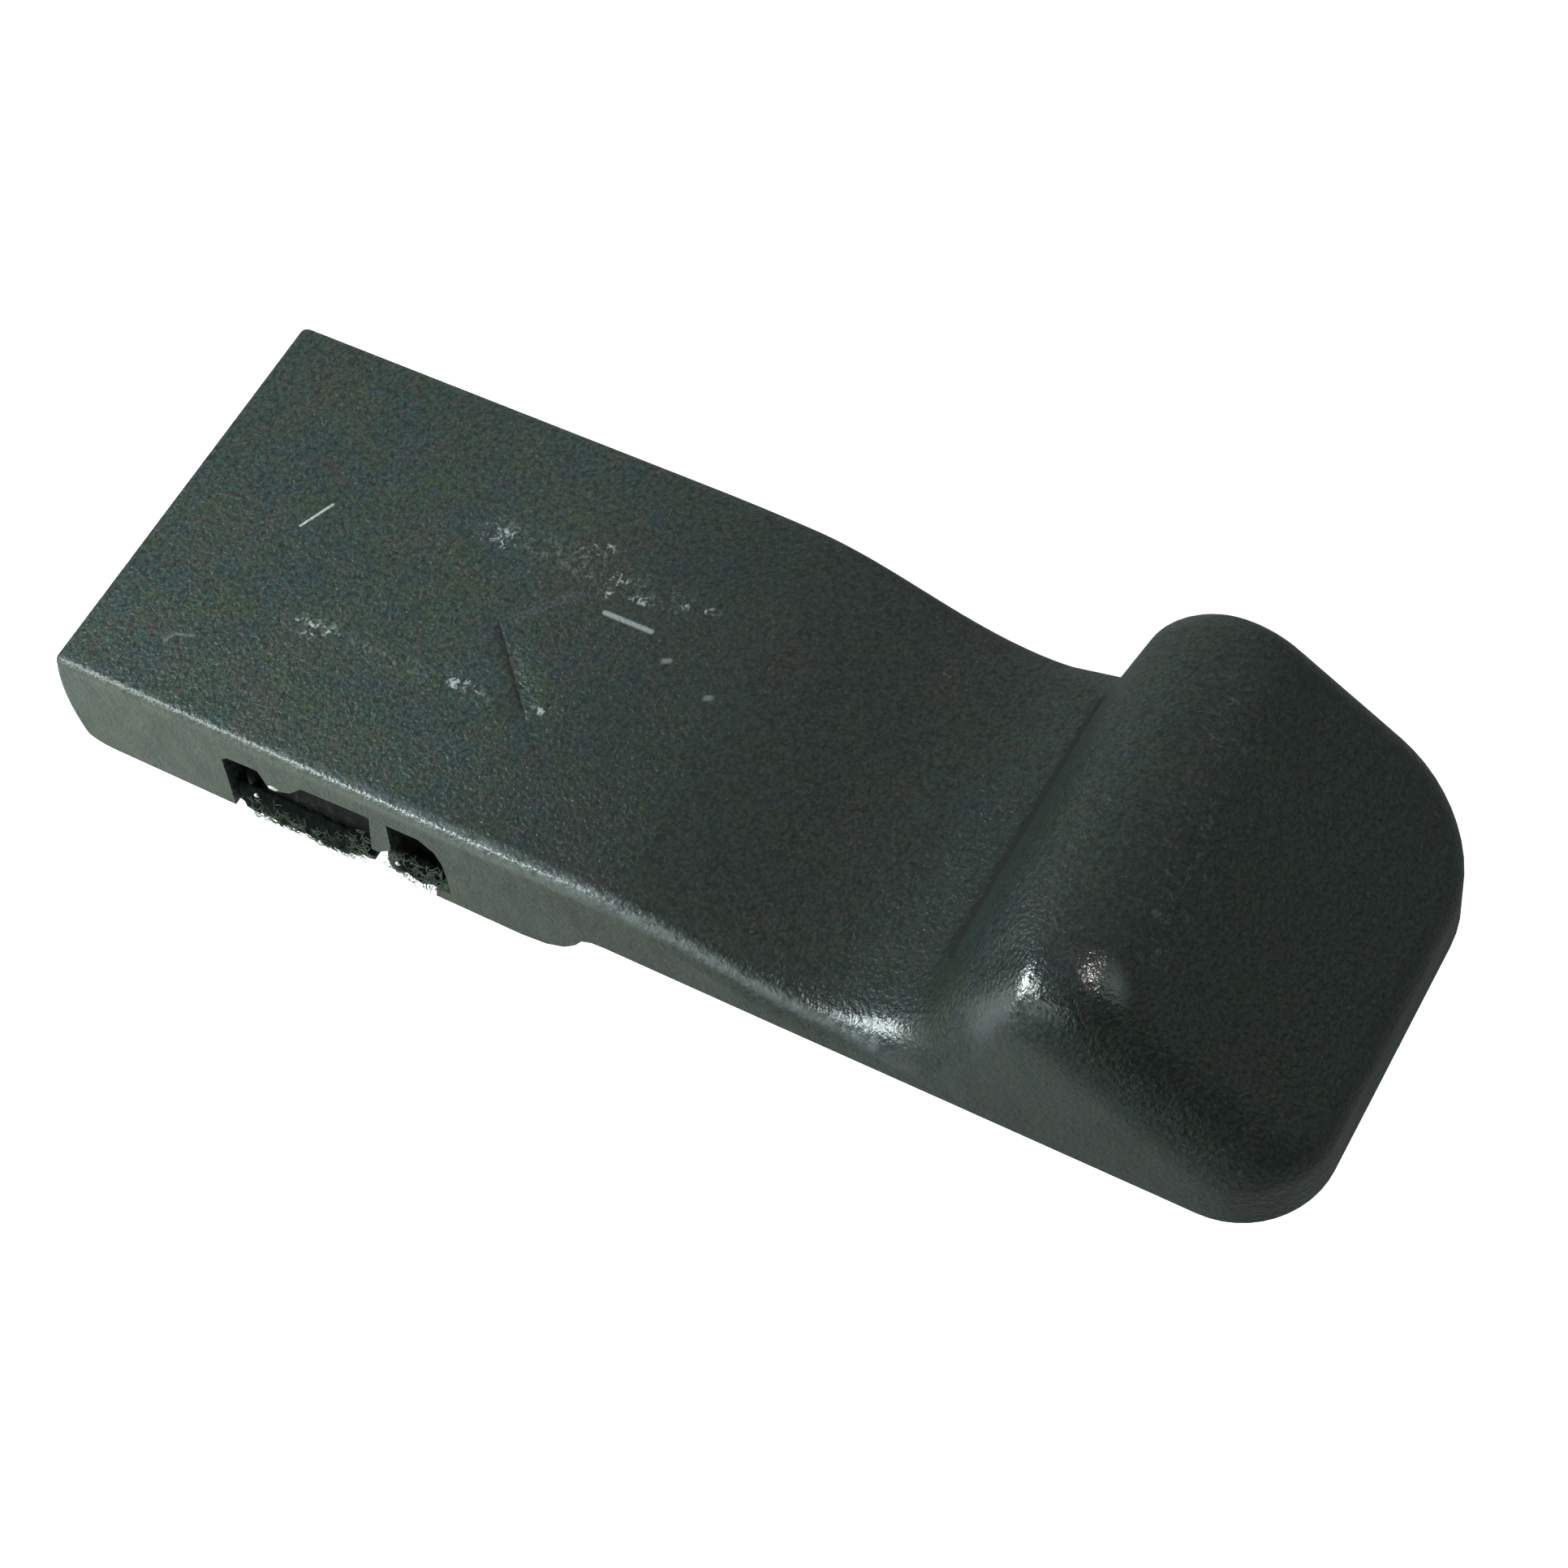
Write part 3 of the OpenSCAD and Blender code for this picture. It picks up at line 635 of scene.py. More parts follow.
def felt_wool(name):
    s = Shade(name)
    hair = s.noise(1.1, 6.0, 0.85, stretch=(1.0, 1.0, 0.6), warp=2.5)
    cloud = s.noise(0.35, 3.0, 0.6)
    pale = s.math("MULTIPLY", s.span(hair, 0.50, 0.62), s.span(cloud, 0.35, 0.65, 0.25, 1.0))
    # Pale lint with painted shade: it fades with height, so the felt is darker towards its top
    # under the opening's edge and palest along its bottom border.
    pale = s.math("MULTIPLY", pale, s.span(s.z, 3.0, 0.6, 0.2, 1.0))
    ragged_z = s.math("ADD", s.z, s.math("MULTIPLY", hair, 1.6))
    pale = s.math("MAXIMUM", pale, s.span(ragged_z, 1.1, 0.2, 0.0, 0.8))
    s.set("Base Color", s.mix(pale, rgba(0.0035, 0.0055, 0.0050), rgba(0.060, 0.072, 0.056)))
    s.bsdf.inputs["Roughness"].default_value = 0.95
    s.bsdf.inputs["Specular IOR Level"].default_value = 0.05
    s.set("Normal", s.bump(hair, 0.35, 0.8))
    return s.mat


pale_flake = soft_part("pale_flake", (0.30, 0.31, 0.28), (0.55, 0.56, 0.52), 0.8, 2.5, 0.05)
lint_hair = soft_part("lint_hair", (0.02, 0.028, 0.021), (0.11, 0.13, 0.10), 0.9, 1.2, 0.01,
                      gloss=0.1)

MATS = {
    "handle_plastic": handle_plastic(),
    "cover_plastic": soft_part("cover_plastic", (0.016, 0.019, 0.018), (0.026, 0.03, 0.028), 0.5),
    "screw_steel": metal("screw_steel", (0.50, 0.49, 0.46), (0.62, 0.61, 0.58), 0.34),
    "cast_zinc": metal("cast_zinc", (0.014, 0.016, 0.018), (0.04, 0.044, 0.046), 0.55, 0.9, 0.12,
                       metallic=0.0, opening_shade=1.0, gloss=0.12),
    "felt": felt_wool("felt"),
    "pin_steel": metal("pin_steel", (0.50, 0.50, 0.49), (0.56, 0.56, 0.55), 0.33, 1.6, 0.002),
    "spring_steel": metal("spring_steel", (0.20, 0.205, 0.21), (0.34, 0.34, 0.34), 0.32, 1.4, 0.01),
    "natural_nylon": soft_part("natural_nylon", (0.16, 0.155, 0.13), (0.36, 0.35, 0.31), 0.45,
                               1.0, 0.03, opening_shade=0.94, gloss=0.15),
    "plated_sheet": metal("plated_sheet", (0.44, 0.45, 0.46), (0.60, 0.60, 0.58), 0.36, 0.5, 0.012,
                          (0.25, 2.0, 2.0)),
    "buffer_rubber": soft_part("buffer_rubber", (0.012, 0.012, 0.013), (0.022, 0.022, 0.022), 0.62,
                               1.8, 0.04),
    "ferrule_plastic": soft_part("ferrule_plastic", (0.014, 0.015, 0.016), (0.024, 0.025, 0.027),
                                 0.36, 2.0, 0.02),
    "trunnion_brass": metal("trunnion_brass", (0.60, 0.43, 0.16), (0.68, 0.50, 0.20), 0.33, 1.5,
                            0.002),
}


def dress(ob, body, slot, *nodes, mat=None):
    """Gives a new piece the material of its slot and its body, and hides the CAD nodes it stands in
    for.
    """
    ob.data.materials.clear()
    ob.data.materials.append(mat or MATS[slot])
    if body:
        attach(ob, body)
    if nodes:
        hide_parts(*nodes)
    return ob


for part in frame["record"]["subparts"]:
    node = frame["nodes"][part["node"]]
    for spot in node.material_slots:
        spot.material = MATS[part["material_slot"]]

# ---------------------------------------------------------------- handle

# Outlines in x and z: side opening, its rib, the flap of burr in it, and what is cut away below
NOTCH = [(15.4, -1), (15.6, 0.6), (16.2, 5.0), (16.6, 8.4), (17.4, 9.1), (22.5, 9.4), (30.0, 9.8),
         (37.3, 10.0), (38.6, 8.8), (39.0, 7.0), (38.9, 4.0), (38.7, 1.7), (37.1, 1.5), (36.5, -1)]
RIB = [(32.3, 10.4), (34, 10.4), (33.2, 4.9), (31.6, 3.4), (30.8, 3.4)]
BURR = [(20.6, 9.3), (21.0, 7.1), (22.2, 7.0), (23.5, 7.6), (25.2, 9.5)]
RIM = [(-6, -9), (-6, 3.0), (-1.3, 3.0), (-1.1, 2.0), (-0.6, 1.1), (0.2, 0.45), (1.1, 0.1),
       (2.0, 0), (45.5, 0), (48, 0.4), (50, 1.4), (51.4, 2.8), (52.3, 4.2), (53.4, 4.8),
       (54.6, 4.95), (70, 5.05), (86, 5.25), (106, 5.45), (122, 5.5), (122, -9)]

shell = make_mesh("handle", *handle_skin(0.0))
tools = [("DIFFERENCE", make_mesh("inner", *handle_skin(WALL)))]
tools.append(("DIFFERENCE", prism("under", RIM, -26, 26)))
for y0, y1, outline in ((-24, -15, NOTCH[:5] + BURR + NOTCH[6:]), (15, 24, NOTCH)):
    tools.append(("DIFFERENCE", prism("notch", outline, y0, y1)))
for y0, y1 in ((-19.85, -18.0), (18.0, 19.85)):
    tools.append(("UNION", prism("rib", RIB, y0, y1)))
for x in (12, 48):
    for y in (-11, 11):
        boss = [(0, 7.9), (3.0, 7.9), (3.2, 8.1), (3.2, 11.9), (0, 11.9)]
        tools.append(("UNION", lathe("boss", (x, y, 0), "z", boss, 40)))


def groove(x0, y0, x1, y1, w, depth):
    """Shallow V groove cutter across the flat top."""
    d = Vector((x1 - x0, y1 - y0, 0)).normalized()
    n = Vector((-d[1], d[0], 0))
    verts = []
    for p, e in ((Vector((x0, y0, 0)), -0.3), (Vector((x1, y1, 0)), 0.3)):
        q = p + d * e
        for off, rise in ((-w, 0.1), (0, -depth), (w, 0.1), (0, 0.6)):
            verts.append(tuple(q + n * off + Vector((0, 0, FLAT_Z + rise))))
    faces = [(0, 1, 2, 3), (7, 6, 5, 4)]
    faces += [(i, (i + 1) % 4, 4 + (i + 1) % 4, 4 + i) for i in range(4)]
    return make_mesh("groove", verts, faces)


tools.append(("DIFFERENCE", groove(34.0, -0.3, 39.0, 5.6, 0.24, 0.05)))
tools.append(("DIFFERENCE", groove(34.0, -0.3, 40.4, -6.8, 0.28, 0.07)))
shell = combine(shell, tools)
finish_mesh(shell, 32)
dress(shell, "lever", "handle_plastic", "handle_shell")

# ---------------------------------------------------------------- spring


def tube(path, radius, sides=16):
    """Round bar along a path, with rings carried along without twist."""
    pts = [Vector(p) for p in path]
    tang = []
    for i in range(len(pts)):
        a = pts[max(i - 1, 0)]
        b = pts[min(i + 1, len(pts) - 1)]
        tang.append((b - a).normalized())
    u = tang[0].orthogonal().normalized()
    verts, faces = [], []
    for i, (p, t) in enumerate(zip(pts, tang)):
        u = (u - t * u.dot(t)).normalized()
        v = t.cross(u)
        r = radius(i, len(pts)) if callable(radius) else radius
        for j in range(sides):
            c, s = polar(360 * j / sides)
            verts.append(tuple(p + u * (r * c) + v * (r * s)))
    for i in range(len(pts) - 1):
        for j in range(sides):
            k = (j + 1) % sides
            faces.append((i * sides + j, i * sides + k, (i + 1) * sides + k, (i + 1) * sides + j))
    faces.append(list(range(sides)))
    faces.append(list(range(len(verts) - 1, len(verts) - sides - 1, -1)))
    return verts, faces


def spring_path():
    lean = math.degrees(math.atan2(HOOK[1] - PIVOT[1], HOOK[0] - PIVOT[0]))
    reach = math.hypot(HOOK[1] - PIVOT[1], HOOK[0] - PIVOT[0])
    last = lean - math.degrees(math.acos(COIL_R / reach)) + 6 * 360
    path = [(PIVOT[0] + COIL_R, COIL_L / 2, PIVOT[1] - 18.1 * t / 14) for t in range(14, 0, -1)]
    steps = 288
    for i in range(steps + 1):
        c, s = polar(last * i / steps)
        path.append((PIVOT[0] + COIL_R * c, COIL_L / 2 - COIL_L * i / steps, PIVOT[1] + COIL_R * s))
    c, s = polar(last)
    ahead = Vector((-s, 0, c))
    hook = Vector((HOOK[0], -COIL_L / 2, HOOK[1]))
    run = (hook - Vector(path[-1])).length - 1.2
    start = Vector(path[-1])
    path += [tuple(start + ahead * run * i / 5) for i in range(1, 5)]
    for b in range(0, 91, 10):
        bc, bs = polar(b)
        path.append(tuple(hook - 1.2 * (1 - bs) * ahead - Vector((0, 1.2 * (1 - bc), 0))))
    path += [(HOOK[0], y, HOOK[1]) for y in (-8, -10, -12, -14, -16, -17.6, -17.95)]
    return path


spring = make_mesh("spring_wire", *tube(spring_path(), WIRE_R))
finish_mesh(spring, 50)
dress(spring, None, "spring_steel", "return_spring")
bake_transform(spring)

# ---------------------------------------------------------------- felt, lint and sleeve

HAIR_R = 0.035
# Felt strip: y and z of its axis, then its outer and inner radius
SLOT_AXIS = (-10.1, 1.0)
FELT_R = (9.72, 9.05)
# Lint clump: its middle and half its size
CLUMP = (34.4, -18.5, 0.95)
CLUMP_HALF = (3.2, 1.05, 1.45)
# Pale flakes: middle, length and radius
FLAKES = [(21.7, -20.0, 7.25, 1.1, 0.2), (16.75, -18.7, 7.6, 0.7, 0.2),
          (18.6, -19.75, 3.4, 0.5, 0.17), (33.0, -19.6, 2.1, 0.5, 0.16)]


def wobble(x, y, z, size, height):
    """Smooth unevenness of the given feature size and height, in mm."""
    return height * noise.noise(Vector((x, y, z)) / size)


def felt_skin():
    """Outer and inner face of the curved felt strip, with worn and rounded borders."""
    nu, nv = 110, 26
    verts, faces = [], []
    for layer in (0, 1):
        for i in range(nu + 1):
            for j in range(nv + 1):
                u, v = i / nu, j / nv
                x = 16.2 + (14.1 + 0.4 * v) * u
                low = -11.3 + 2.7 * (1 - smooth(17.5, 21.5, x)) + 11.5 * smooth(26.3, 30.0, x)
                turn = math.radians(low + (15.2 - low) * v)
                rim = min(u * 14, (1 - u) * 14, v * 4, (1 - v) * 4)
                thin = 0.3 * (1 - smooth(0, 0.5, rim))
                r = FELT_R[0] - thin if layer == 0 else FELT_R[1] + 0.4 * thin
                if layer == 0:
                    r += wobble(x, 9 * turn, 0, 0.9, 0.13) + wobble(x, 9 * turn, 5, 0.3, 0.07)
                ragged = 0.25 * wobble(x, 0, 9, 0.8, 1.0) * (1 - smooth(0, 0.9, rim))
                turn += ragged / r
                verts.append((x, SLOT_AXIS[0] - r * math.cos(turn),
                              SLOT_AXIS[1] + r * math.sin(turn)))
    row = nv + 1
    base = (nu + 1) * row
    for i in range(nu):
        for j in range(nv):
            a = i * row + j
            faces.append((a, a + 1, a + row + 1, a + row))
            faces.append((base + a, base + a + row, base + a + row + 1, base + a + 1))
    loop = [i * row for i in range(nu + 1)] + [nu * row + j for j in range(1, row)]
    loop += [i * row + nv for i in range(nu - 1, -1, -1)] + [j for j in range(nv - 1, 0, -1)]
    for a, b in zip(loop, loop[1:] + loop[:1]):
        faces.append((a, b, base + b, base + a))
    return verts, faces


def hairs(places, seed, length, rise):
    """Short curled fibres, each a thin four-sided tube that starts on a surface."""
    rng = random.Random(seed)
    verts, faces = [], []
    for x, y, z, ny, nz in places:
        lead = rng.uniform(0, 2 * math.pi)
        curl = rng.uniform(-2.2, 2.2)
        reach = length * rng.uniform(0.45, 1.0)
        path = []
        px, pt = 0.0, 0.0
        for k in range(7):
            lift = rise * math.sin(math.pi * k / 7) + 0.03
            path.append((x + px, y + lift * ny - pt * nz, z + lift * nz + pt * ny))
            a = lead + curl * k / 6
            px += math.cos(a) * reach / 6
            pt += math.sin(a) * reach / 6
        v, f = tube(path, HAIR_R, 4)
        n = len(verts)
        verts += v
        faces += [tuple(n + i for i in q) for q in f]
    return verts, faces


def lint_places():
    rng = random.Random(11)
    out = []
    for _ in range(250):
        x = 16.8 + 13.2 * rng.random() ** 0.85
        turn = math.radians(-10 + 12 * smooth(26.3, 30.0, x) + 20 * rng.random() ** 1.9)
        c, s = math.cos(turn), math.sin(turn)
        out.append((x, SLOT_AXIS[0] - 9.66 * c, SLOT_AXIS[1] + 9.66 * s, -c, s))
    for _ in range(150):
        x = 31.8 + 5.6 * rng.random()
        lift = rng.uniform(-1.2, 1.4)
        out.append((x, -19.45 + 0.3 * abs(lift), 1.0 + lift, -0.94, 0.34))
    return out


def lint_clump():
    """Matted lint caught on the spring's sleeve, as an uneven ellipsoid."""
    cx, cy, cz = CLUMP
    rx, ry, rz = CLUMP_HALF
    ring, rows = 64, 32
    verts, faces = [(cx, cy, cz - rz)], []
    for i in range(1, rows):
        rc, rs = polar(-90 + 180 * i / rows)
        for j in range(ring):
            c, s = polar(360 * j / ring)
            p = Vector((rx * rc * c, ry * rc * s, rz * rs))
            swell = 1 + wobble(p.x, p.y, p.z, 1.1, 0.30) + wobble(p.x, p.y, p.z + 9, 0.35, 0.12)
            verts.append((cx + p.x * swell, cy + p.y * swell, cz + p.z * swell))
    verts.append((cx, cy, cz + rz))
    top = 1 + (rows - 2) * ring
    for j in range(ring):
        k = (j + 1) % ring
        faces.append((0, 1 + k, 1 + j))
        faces.append((top + j, top + k, len(verts) - 1))
        for a in range(1, top, ring):
            faces.append((a + j, a + k, a + ring + k, a + ring + j))
    return verts, faces


def crumbs():
    """Small pale flakes stuck to the opening's border and to the felt."""
    verts, faces = [], []
    for x, y, z, long, thick in FLAKES:
        path = [(x + long * (i / 8 - 0.5), y, z + 0.06 * math.sin(5 * i)) for i in range(9)]
        v, f = tube(path, lambda i, n: thick * math.sqrt(max(0.02, 1 - (2 * i / (n - 1) - 1) ** 2)),
                    8)
        n = len(verts)
        verts += v
        faces += [tuple(n + i for i in q) for q in f]
    return verts, faces


felt = make_mesh("felt_pad", *felt_skin())
finish_mesh(felt, 60)
dress(felt, "lever", "felt", "felt_strip")
lint = make_mesh("felt_lint", *hairs(lint_places(), 5, 1.5, 0.16))
finish_mesh(lint, 70)
dress(lint, "lever", "felt", mat=lint_hair)
clump = make_mesh("lint_clump", *lint_clump())
finish_mesh(clump, 60)
dress(clump, "lever", "felt")
flakes = make_mesh("lint_flakes", *crumbs())
finish_mesh(flakes, 60)
dress(flakes, "lever", "felt", mat=pale_flake)

sleeve_r, sleeve_end = 1.5, 4.2
sleeve = [(sleeve_r, sleeve_end - 0.15), (1.35, sleeve_end), (0.8, sleeve_end), (0.8, 0.12),
          (0.75, 0.05), (0.0, 0.05), (0.0, -sleeve_r)]
sleeve += [(sleeve_r * math.sin(math.radians(a)), -sleeve_r * math.cos(math.radians(a)))
           for a in range(12, 90, 13)]
sleeve += [(sleeve_r, 0.0), (1.46, 0.5), (1.54, 1.0), (1.47, 1.5), (1.53, 2.1), (sleeve_r, 2.8)]
cap = lathe("sleeve", (HOOK[0], -18.2, HOOK[1]), "y", sleeve, 48)
for v in cap.data.vertices:
    p = (v.co - ORIGIN) / MM
    if math.hypot(p.x - HOOK[0], p.z - HOOK[1]) > 0.9:
        v.co += Vector((1, 1, 1)) * wobble(p.x, p.y, p.z, 0.5, 0.07) * MM
finish_mesh(cap, 50)
dress(cap, "lever", "natural_nylon", "spring_sleeve")

# ---------------------------------------------------------------- lower parts


def clinch_nut(x):
    """Clinch nut with chamfered body, a rolled shank groove and thread grooves in the bore."""
    low, plate = -16.0, -14.0
    prof = [(2.35, low), (2.85, low), (2.95, low + 0.1), (2.95, plate - 0.5),
            (2.75, plate - 0.35), (2.75, plate)]
    prof += [(4.05, plate), (4.2, plate + 0.15), (4.2, -10.5), (3.7, -10.0), (2.35, -10.0)]
    z = -10.1
    while z > low + 0.5:
        prof += [(2.1, z - 0.25), (2.1, z - 0.32), (2.38, z - 0.62), (2.38, z - 0.68)]
        z -= 0.8
    return lathe("clinch_nut", (x, 0, 0), "z", prof, 56)


def join(name, obs):
    """One mesh from several new ones."""
    verts, faces = [], []
    for ob in obs:
        n = len(verts)
        verts += [tuple(v.co) for v in ob.data.vertices]
        faces += [tuple(n + i for i in f.vertices) for f in ob.data.polygons]
        bpy.data.objects.remove(ob)
    return make_mesh(name, verts, faces, scale=False)


nuts = join("clinch_nut_pair", [clinch_nut(26.0), clinch_nut(78.0)])
finish_mesh(nuts, 30)
dress(nuts, "bracket", "pin_steel", "clinch_nuts")


def rounded(r0, z0, r1, z1, f, steps=5):
    """Outline points of a turned cone with rounded rims, from bottom to top."""
    low = [(r0 - f + f * math.sin(t), z0 + f - f * math.cos(t))
           for t in (math.pi / 2 * k / steps for k in range(steps + 1))]
    high = [(r1 - f + f * math.cos(t), z1 - f + f * math.sin(t))
            for t in (math.pi / 2 * k / steps for k in range(steps + 1))]
    return low + high


rest = [(0, -2.8), (1.2, -2.8), (1.6, -2.6), (2.5, -1.3), (2.5, -1.05), (1.75, -1.0), (1.75, 1.0)]
cone = rounded(4.2, 1.0, 3.5, 5.5, 0.45)
half = len(cone) // 2
rest += cone[:half] + [(4.1, 2.9)] + cone[half:] + [(1.2, 5.5), (1.0, 5.2), (0.0, 5.1)]
stop = lathe("rest_bumper", (64, 0, 0), "z", rest, 56)
finish_mesh(stop, 40)
dress(stop, "bracket", "buffer_rubber", "rest_buffer")
tall = [(0, -15.6), (1.5, -15.6), (1.75, -15.4), (1.75, -14.0)]
tall += rounded(3.5, -14.0, 2.9, -2.0, 0.5) + [(1.0, -2.0), (0.8, -2.25), (0.0, -2.3)]
tall = lathe("open_bumper", (12, 0, 0), "z", tall, 56)
finish_mesh(tall, 40)
dress(tall, "bracket", "buffer_rubber", "open_stop_buffer")

sheath_r, inner_r = 2.6, 1.1
grommet = [(sheath_r, -16.0), (3.85, -16.0), (4.0, -15.85), (4.0, -14.0), (5.35, -14.0),
           (5.5, -13.85), (5.5, -12.75), (5.25, -12.5), (4.0, -12.5), (3.8, -12.3), (3.8, -11.6),
           (3.6, -11.4), (3.6, -11.0), (3.8, -10.8), (3.8, -10.1), (3.6, -9.9), (3.6, -9.5),
           (3.8, -9.3), (3.8, -8.9), (3.4, -8.5), (1.5, -8.5), (inner_r, -8.8), (inner_r, -10.5),
           (sheath_r, -10.5)]
grommet = lathe("cable_grommet", (40, 0, 0), "z", grommet, 56)
finish_mesh(grommet, 34)
dress(grommet, "bracket", "ferrule_plastic", "cable_ferrule")

head_y = 17.5
pin = [(0, -17.2), (2.2, -17.2), (2.5, -16.9), (2.5, 12.25), (2.4, 12.3), (1.95, 12.32),
       (1.95, 13.12), (2.4, 13.15), (2.5, 13.2), (2.5, head_y), (4.0, head_y),
       (4.2, head_y + 0.15), (4.2, head_y + 1.05), (3.95, head_y + 1.3), (3.2, head_y + 1.4),
       (1.0, head_y + 1.4), (0.7, head_y + 1.15), (0, head_y + 1.1)]
pin = lathe("hinge_pin", (PIVOT[0], 0, PIVOT[1]), "y", pin, 56)
finish_mesh(pin, 34)
dress(pin, "lever", "pin_steel", "pivot_pin")


def smooth_tree(limit):
    """Geometry nodes that smooth the shading below an edge angle."""
    tree = bpy.data.node_groups.new("smooth_by_angle", "GeometryNodeTree")
    tree.interface.new_socket("Geometry", in_out="INPUT", socket_type="NodeSocketGeometry")
    tree.interface.new_socket("Geometry", in_out="OUTPUT", socket_type="NodeSocketGeometry")
    first = tree.nodes.new("NodeGroupInput")
    last = tree.nodes.new("NodeGroupOutput")
    soft = tree.nodes.new("GeometryNodeSetShadeSmooth")
    crisp = tree.nodes.new("GeometryNodeSetShadeSmooth")
    crisp.domain = "EDGE"
    crisp.inputs["Shade Smooth"].default_value = False
    angle = tree.nodes.new("GeometryNodeInputMeshEdgeAngle")
    over = tree.nodes.new("FunctionNodeCompare")
    over.data_type = "FLOAT"
    over.operation = "GREATER_THAN"
    over.inputs[1].default_value = math.radians(limit)
    tree.links.new(angle.outputs["Unsigned Angle"], over.inputs[0])
    tree.links.new(over.outputs[0], crisp.inputs["Selection"])
    tree.links.new(first.outputs[0], soft.inputs["Geometry"])
    tree.links.new(soft.outputs[0], crisp.inputs["Geometry"])
    tree.links.new(crisp.outputs[0], last.inputs[0])
    return tree


SMOOTH = smooth_tree(32)


def refine(node, width):
    """Broken edges and smooth round faces on a CAD node, by modifiers only."""
    ob = frame["nodes"][node]
    weld = ob.modifiers.new("weld", "WELD")
    weld.merge_threshold = 1e-6
    flat = ob.modifiers.new("flat", "DECIMATE")
    flat.decimate_type = "DISSOLVE"
    flat.angle_limit = math.radians(0.5)
    shade = ob.modifiers.new("shade", "NODES")
    shade.node_group = SMOOTH
    edge = ob.modifiers.new("edge", "BEVEL")
    edge.width = width * MM
    edge.segments = 3
    edge.limit_method = "ANGLE"
    edge.angle_limit = math.radians(40)
    edge.use_clamp_overlap = True
    edge.harden_normals = True


for node, width in (("base_bracket", 0.25), ("stop_angle", 0.2), ("lever_core", 0.3),
                    ("grip_cover", 0.2), ("cover_screw", 0.12), ("core_screws", 0.15),
                    ("pin_clip", 0.1), ("trunnion_clip", 0.1), ("spring_mandrel", 0.2),
                    ("pivot_bush_near", 0.2), ("pivot_bush_far", 0.2),
                    ("thrust_washers", 0.1), ("cable_trunnion", 0.18)):
    refine(node, width)

# ---------------------------------------------------------------- stage, light, camera

FLOOR_HALF = 3.0  # metres
floor_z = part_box("base_bracket")[0][2]
me = bpy.data.meshes.new("floor")
me.from_pydata([(FLOOR_HALF * sx, FLOOR_HALF * sy, floor_z)
                for sx, sy in ((-1, -1), (1, -1), (1, 1), (-1, 1))], [], [(0, 1, 2, 3)])
floor = bpy.data.objects.new("floor", me)
bpy.context.scene.collection.objects.link(floor)
paper = Shade("paper")
tone = paper.noise(0.02, 2.0, 0.5)
white = paper.mix(paper.span(tone, 0.3, 0.7), rgba(0.90, 0.905, 0.91), rgba(0.92, 0.92, 0.92))
seen_by = paper.add("ShaderNodeLightPath").outputs["Is Camera Ray"]
paper.set("Base Color", paper.mix(seen_by, rgba(0.42, 0.43, 0.43), white))
paper.set("Emission Strength", paper.span(seen_by, 0.0, 1.0, 0.03, 0.85, soft=False))
paper.bsdf.inputs["Emission Color"].default_value = (1.0, 1.0, 1.0, 1.0)
paper.bsdf.inputs["Roughness"].default_value = 0.85
me.materials.append(paper.mat)

MIDDLE = at(58, 0, 8)


def lamp(name, direction, distance, size, power, tint, aim=MIDDLE):
    """Square area lamp at a distance from the point that it faces."""
    data = bpy.data.lights.new(name, "AREA")
    data.shape = "RECTANGLE"
    data.size = size
    data.size_y = size
    data.energy = power
    data.color = tint
    ob = bpy.data.objects.new(name, data)
    bpy.context.scene.collection.objects.link(ob)
    ob.location = aim + Vector(direction).normalized() * distance
    ob.rotation_euler = (aim - ob.location).to_track_quat("-Z", "Y").to_euler()


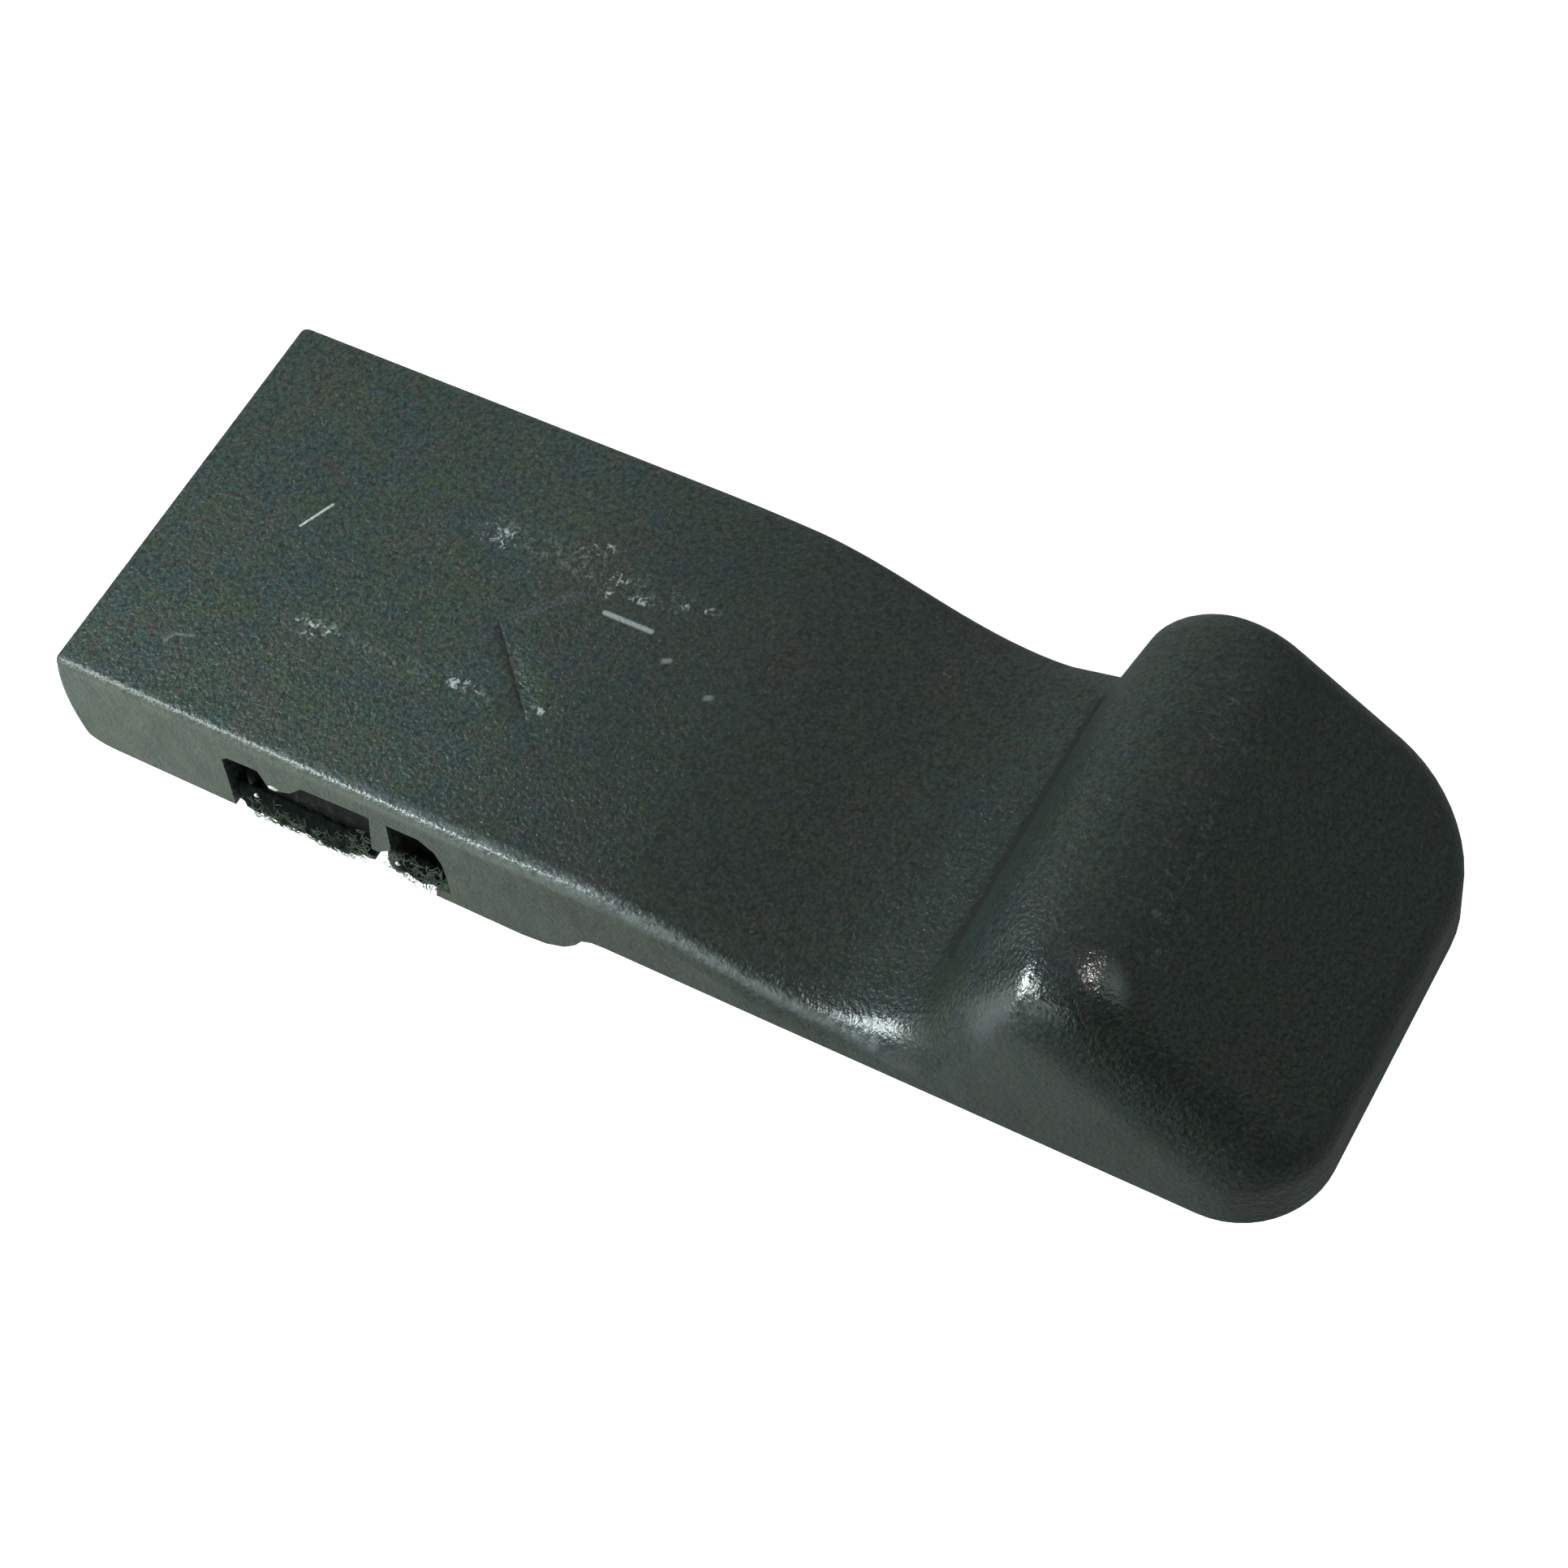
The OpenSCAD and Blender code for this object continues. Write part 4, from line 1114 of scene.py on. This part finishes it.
lamp("near_front", (0.10, -0.95, 0.30), 0.35, 0.25, 0.34, (0.88, 1.0, 0.93), aim=at(40, 0, 10))
lamp("near_high", (-0.30, -0.62, 0.72), 0.35, 0.08, 0.28, (0.91, 1.0, 0.97), aim=at(40, 0, 10))
lamp("window", (-0.815, -0.38, 0.445), 0.212, 0.08, 0.56, (0.88, 1.0, 1.0), aim=at(92, -17, 26))
lamp("far_side", (0.0, 0.80, 0.60), 0.50, 0.30, 0.56, (0.93, 1.0, 0.98))
lamp("front_top", (0.80, 0.40, 0.43), 0.50, 0.30, 0.31, (0.78, 1.0, 0.96))
lamp("rear_close", (-0.60, -0.75, 0.25), 0.13, 0.06, 0.03, (0.95, 1.0, 0.90), aim=at(5, -20, 8))
lamp("rear_fill", (-0.62, 0.72, 0.16), 0.60, 0.40, 0.7, (0.95, 1.0, 0.98))
lamp("overhead", (0.1, 0.1, 1.0), 1.6, 2.2, 1.4, (1.0, 1.0, 1.0))
lamp("warm", (0.47, 0.20, 0.86), 0.60, 0.025, 0.45, (1.0, 0.94, 0.86), aim=at(98, -14.6, 26))

world = bpy.data.worlds.new("studio")
world.use_nodes = True
tree = world.node_tree
back = tree.nodes["Background"]
back.inputs[0].default_value = (0.92, 0.96, 1.0, 1.0)
back.inputs[1].default_value = 0.045
seen_back = tree.nodes.new("ShaderNodeBackground")
seen_back.inputs[0].default_value = (0.97, 0.98, 1.0, 1.0)
seen_back.inputs[1].default_value = 1.0
which = tree.nodes.new("ShaderNodeLightPath")
both = tree.nodes.new("ShaderNodeMixShader")
tree.links.new(which.outputs["Is Camera Ray"], both.inputs[0])
tree.links.new(back.outputs[0], both.inputs[1])
tree.links.new(seen_back.outputs[0], both.inputs[2])
tree.links.new(both.outputs[0], tree.nodes["World Output"].inputs[0])
bpy.context.scene.world = world
bpy.context.scene.view_settings.view_transform = "Standard"

cam_data = bpy.data.cameras.new("camera")
cam_data.lens = 79.122
cam_data.sensor_width = 36.0
cam_data.clip_start = 0.01
cam = bpy.data.objects.new("camera", cam_data)
bpy.context.scene.collection.objects.link(cam)
cam.location = ORIGIN + Vector((0.160478, -0.116455, 0.252602))
cam.rotation_euler = tuple(math.radians(a) for a in (31.1587, 6.8525, 29.4260))
bpy.context.scene.camera = cam
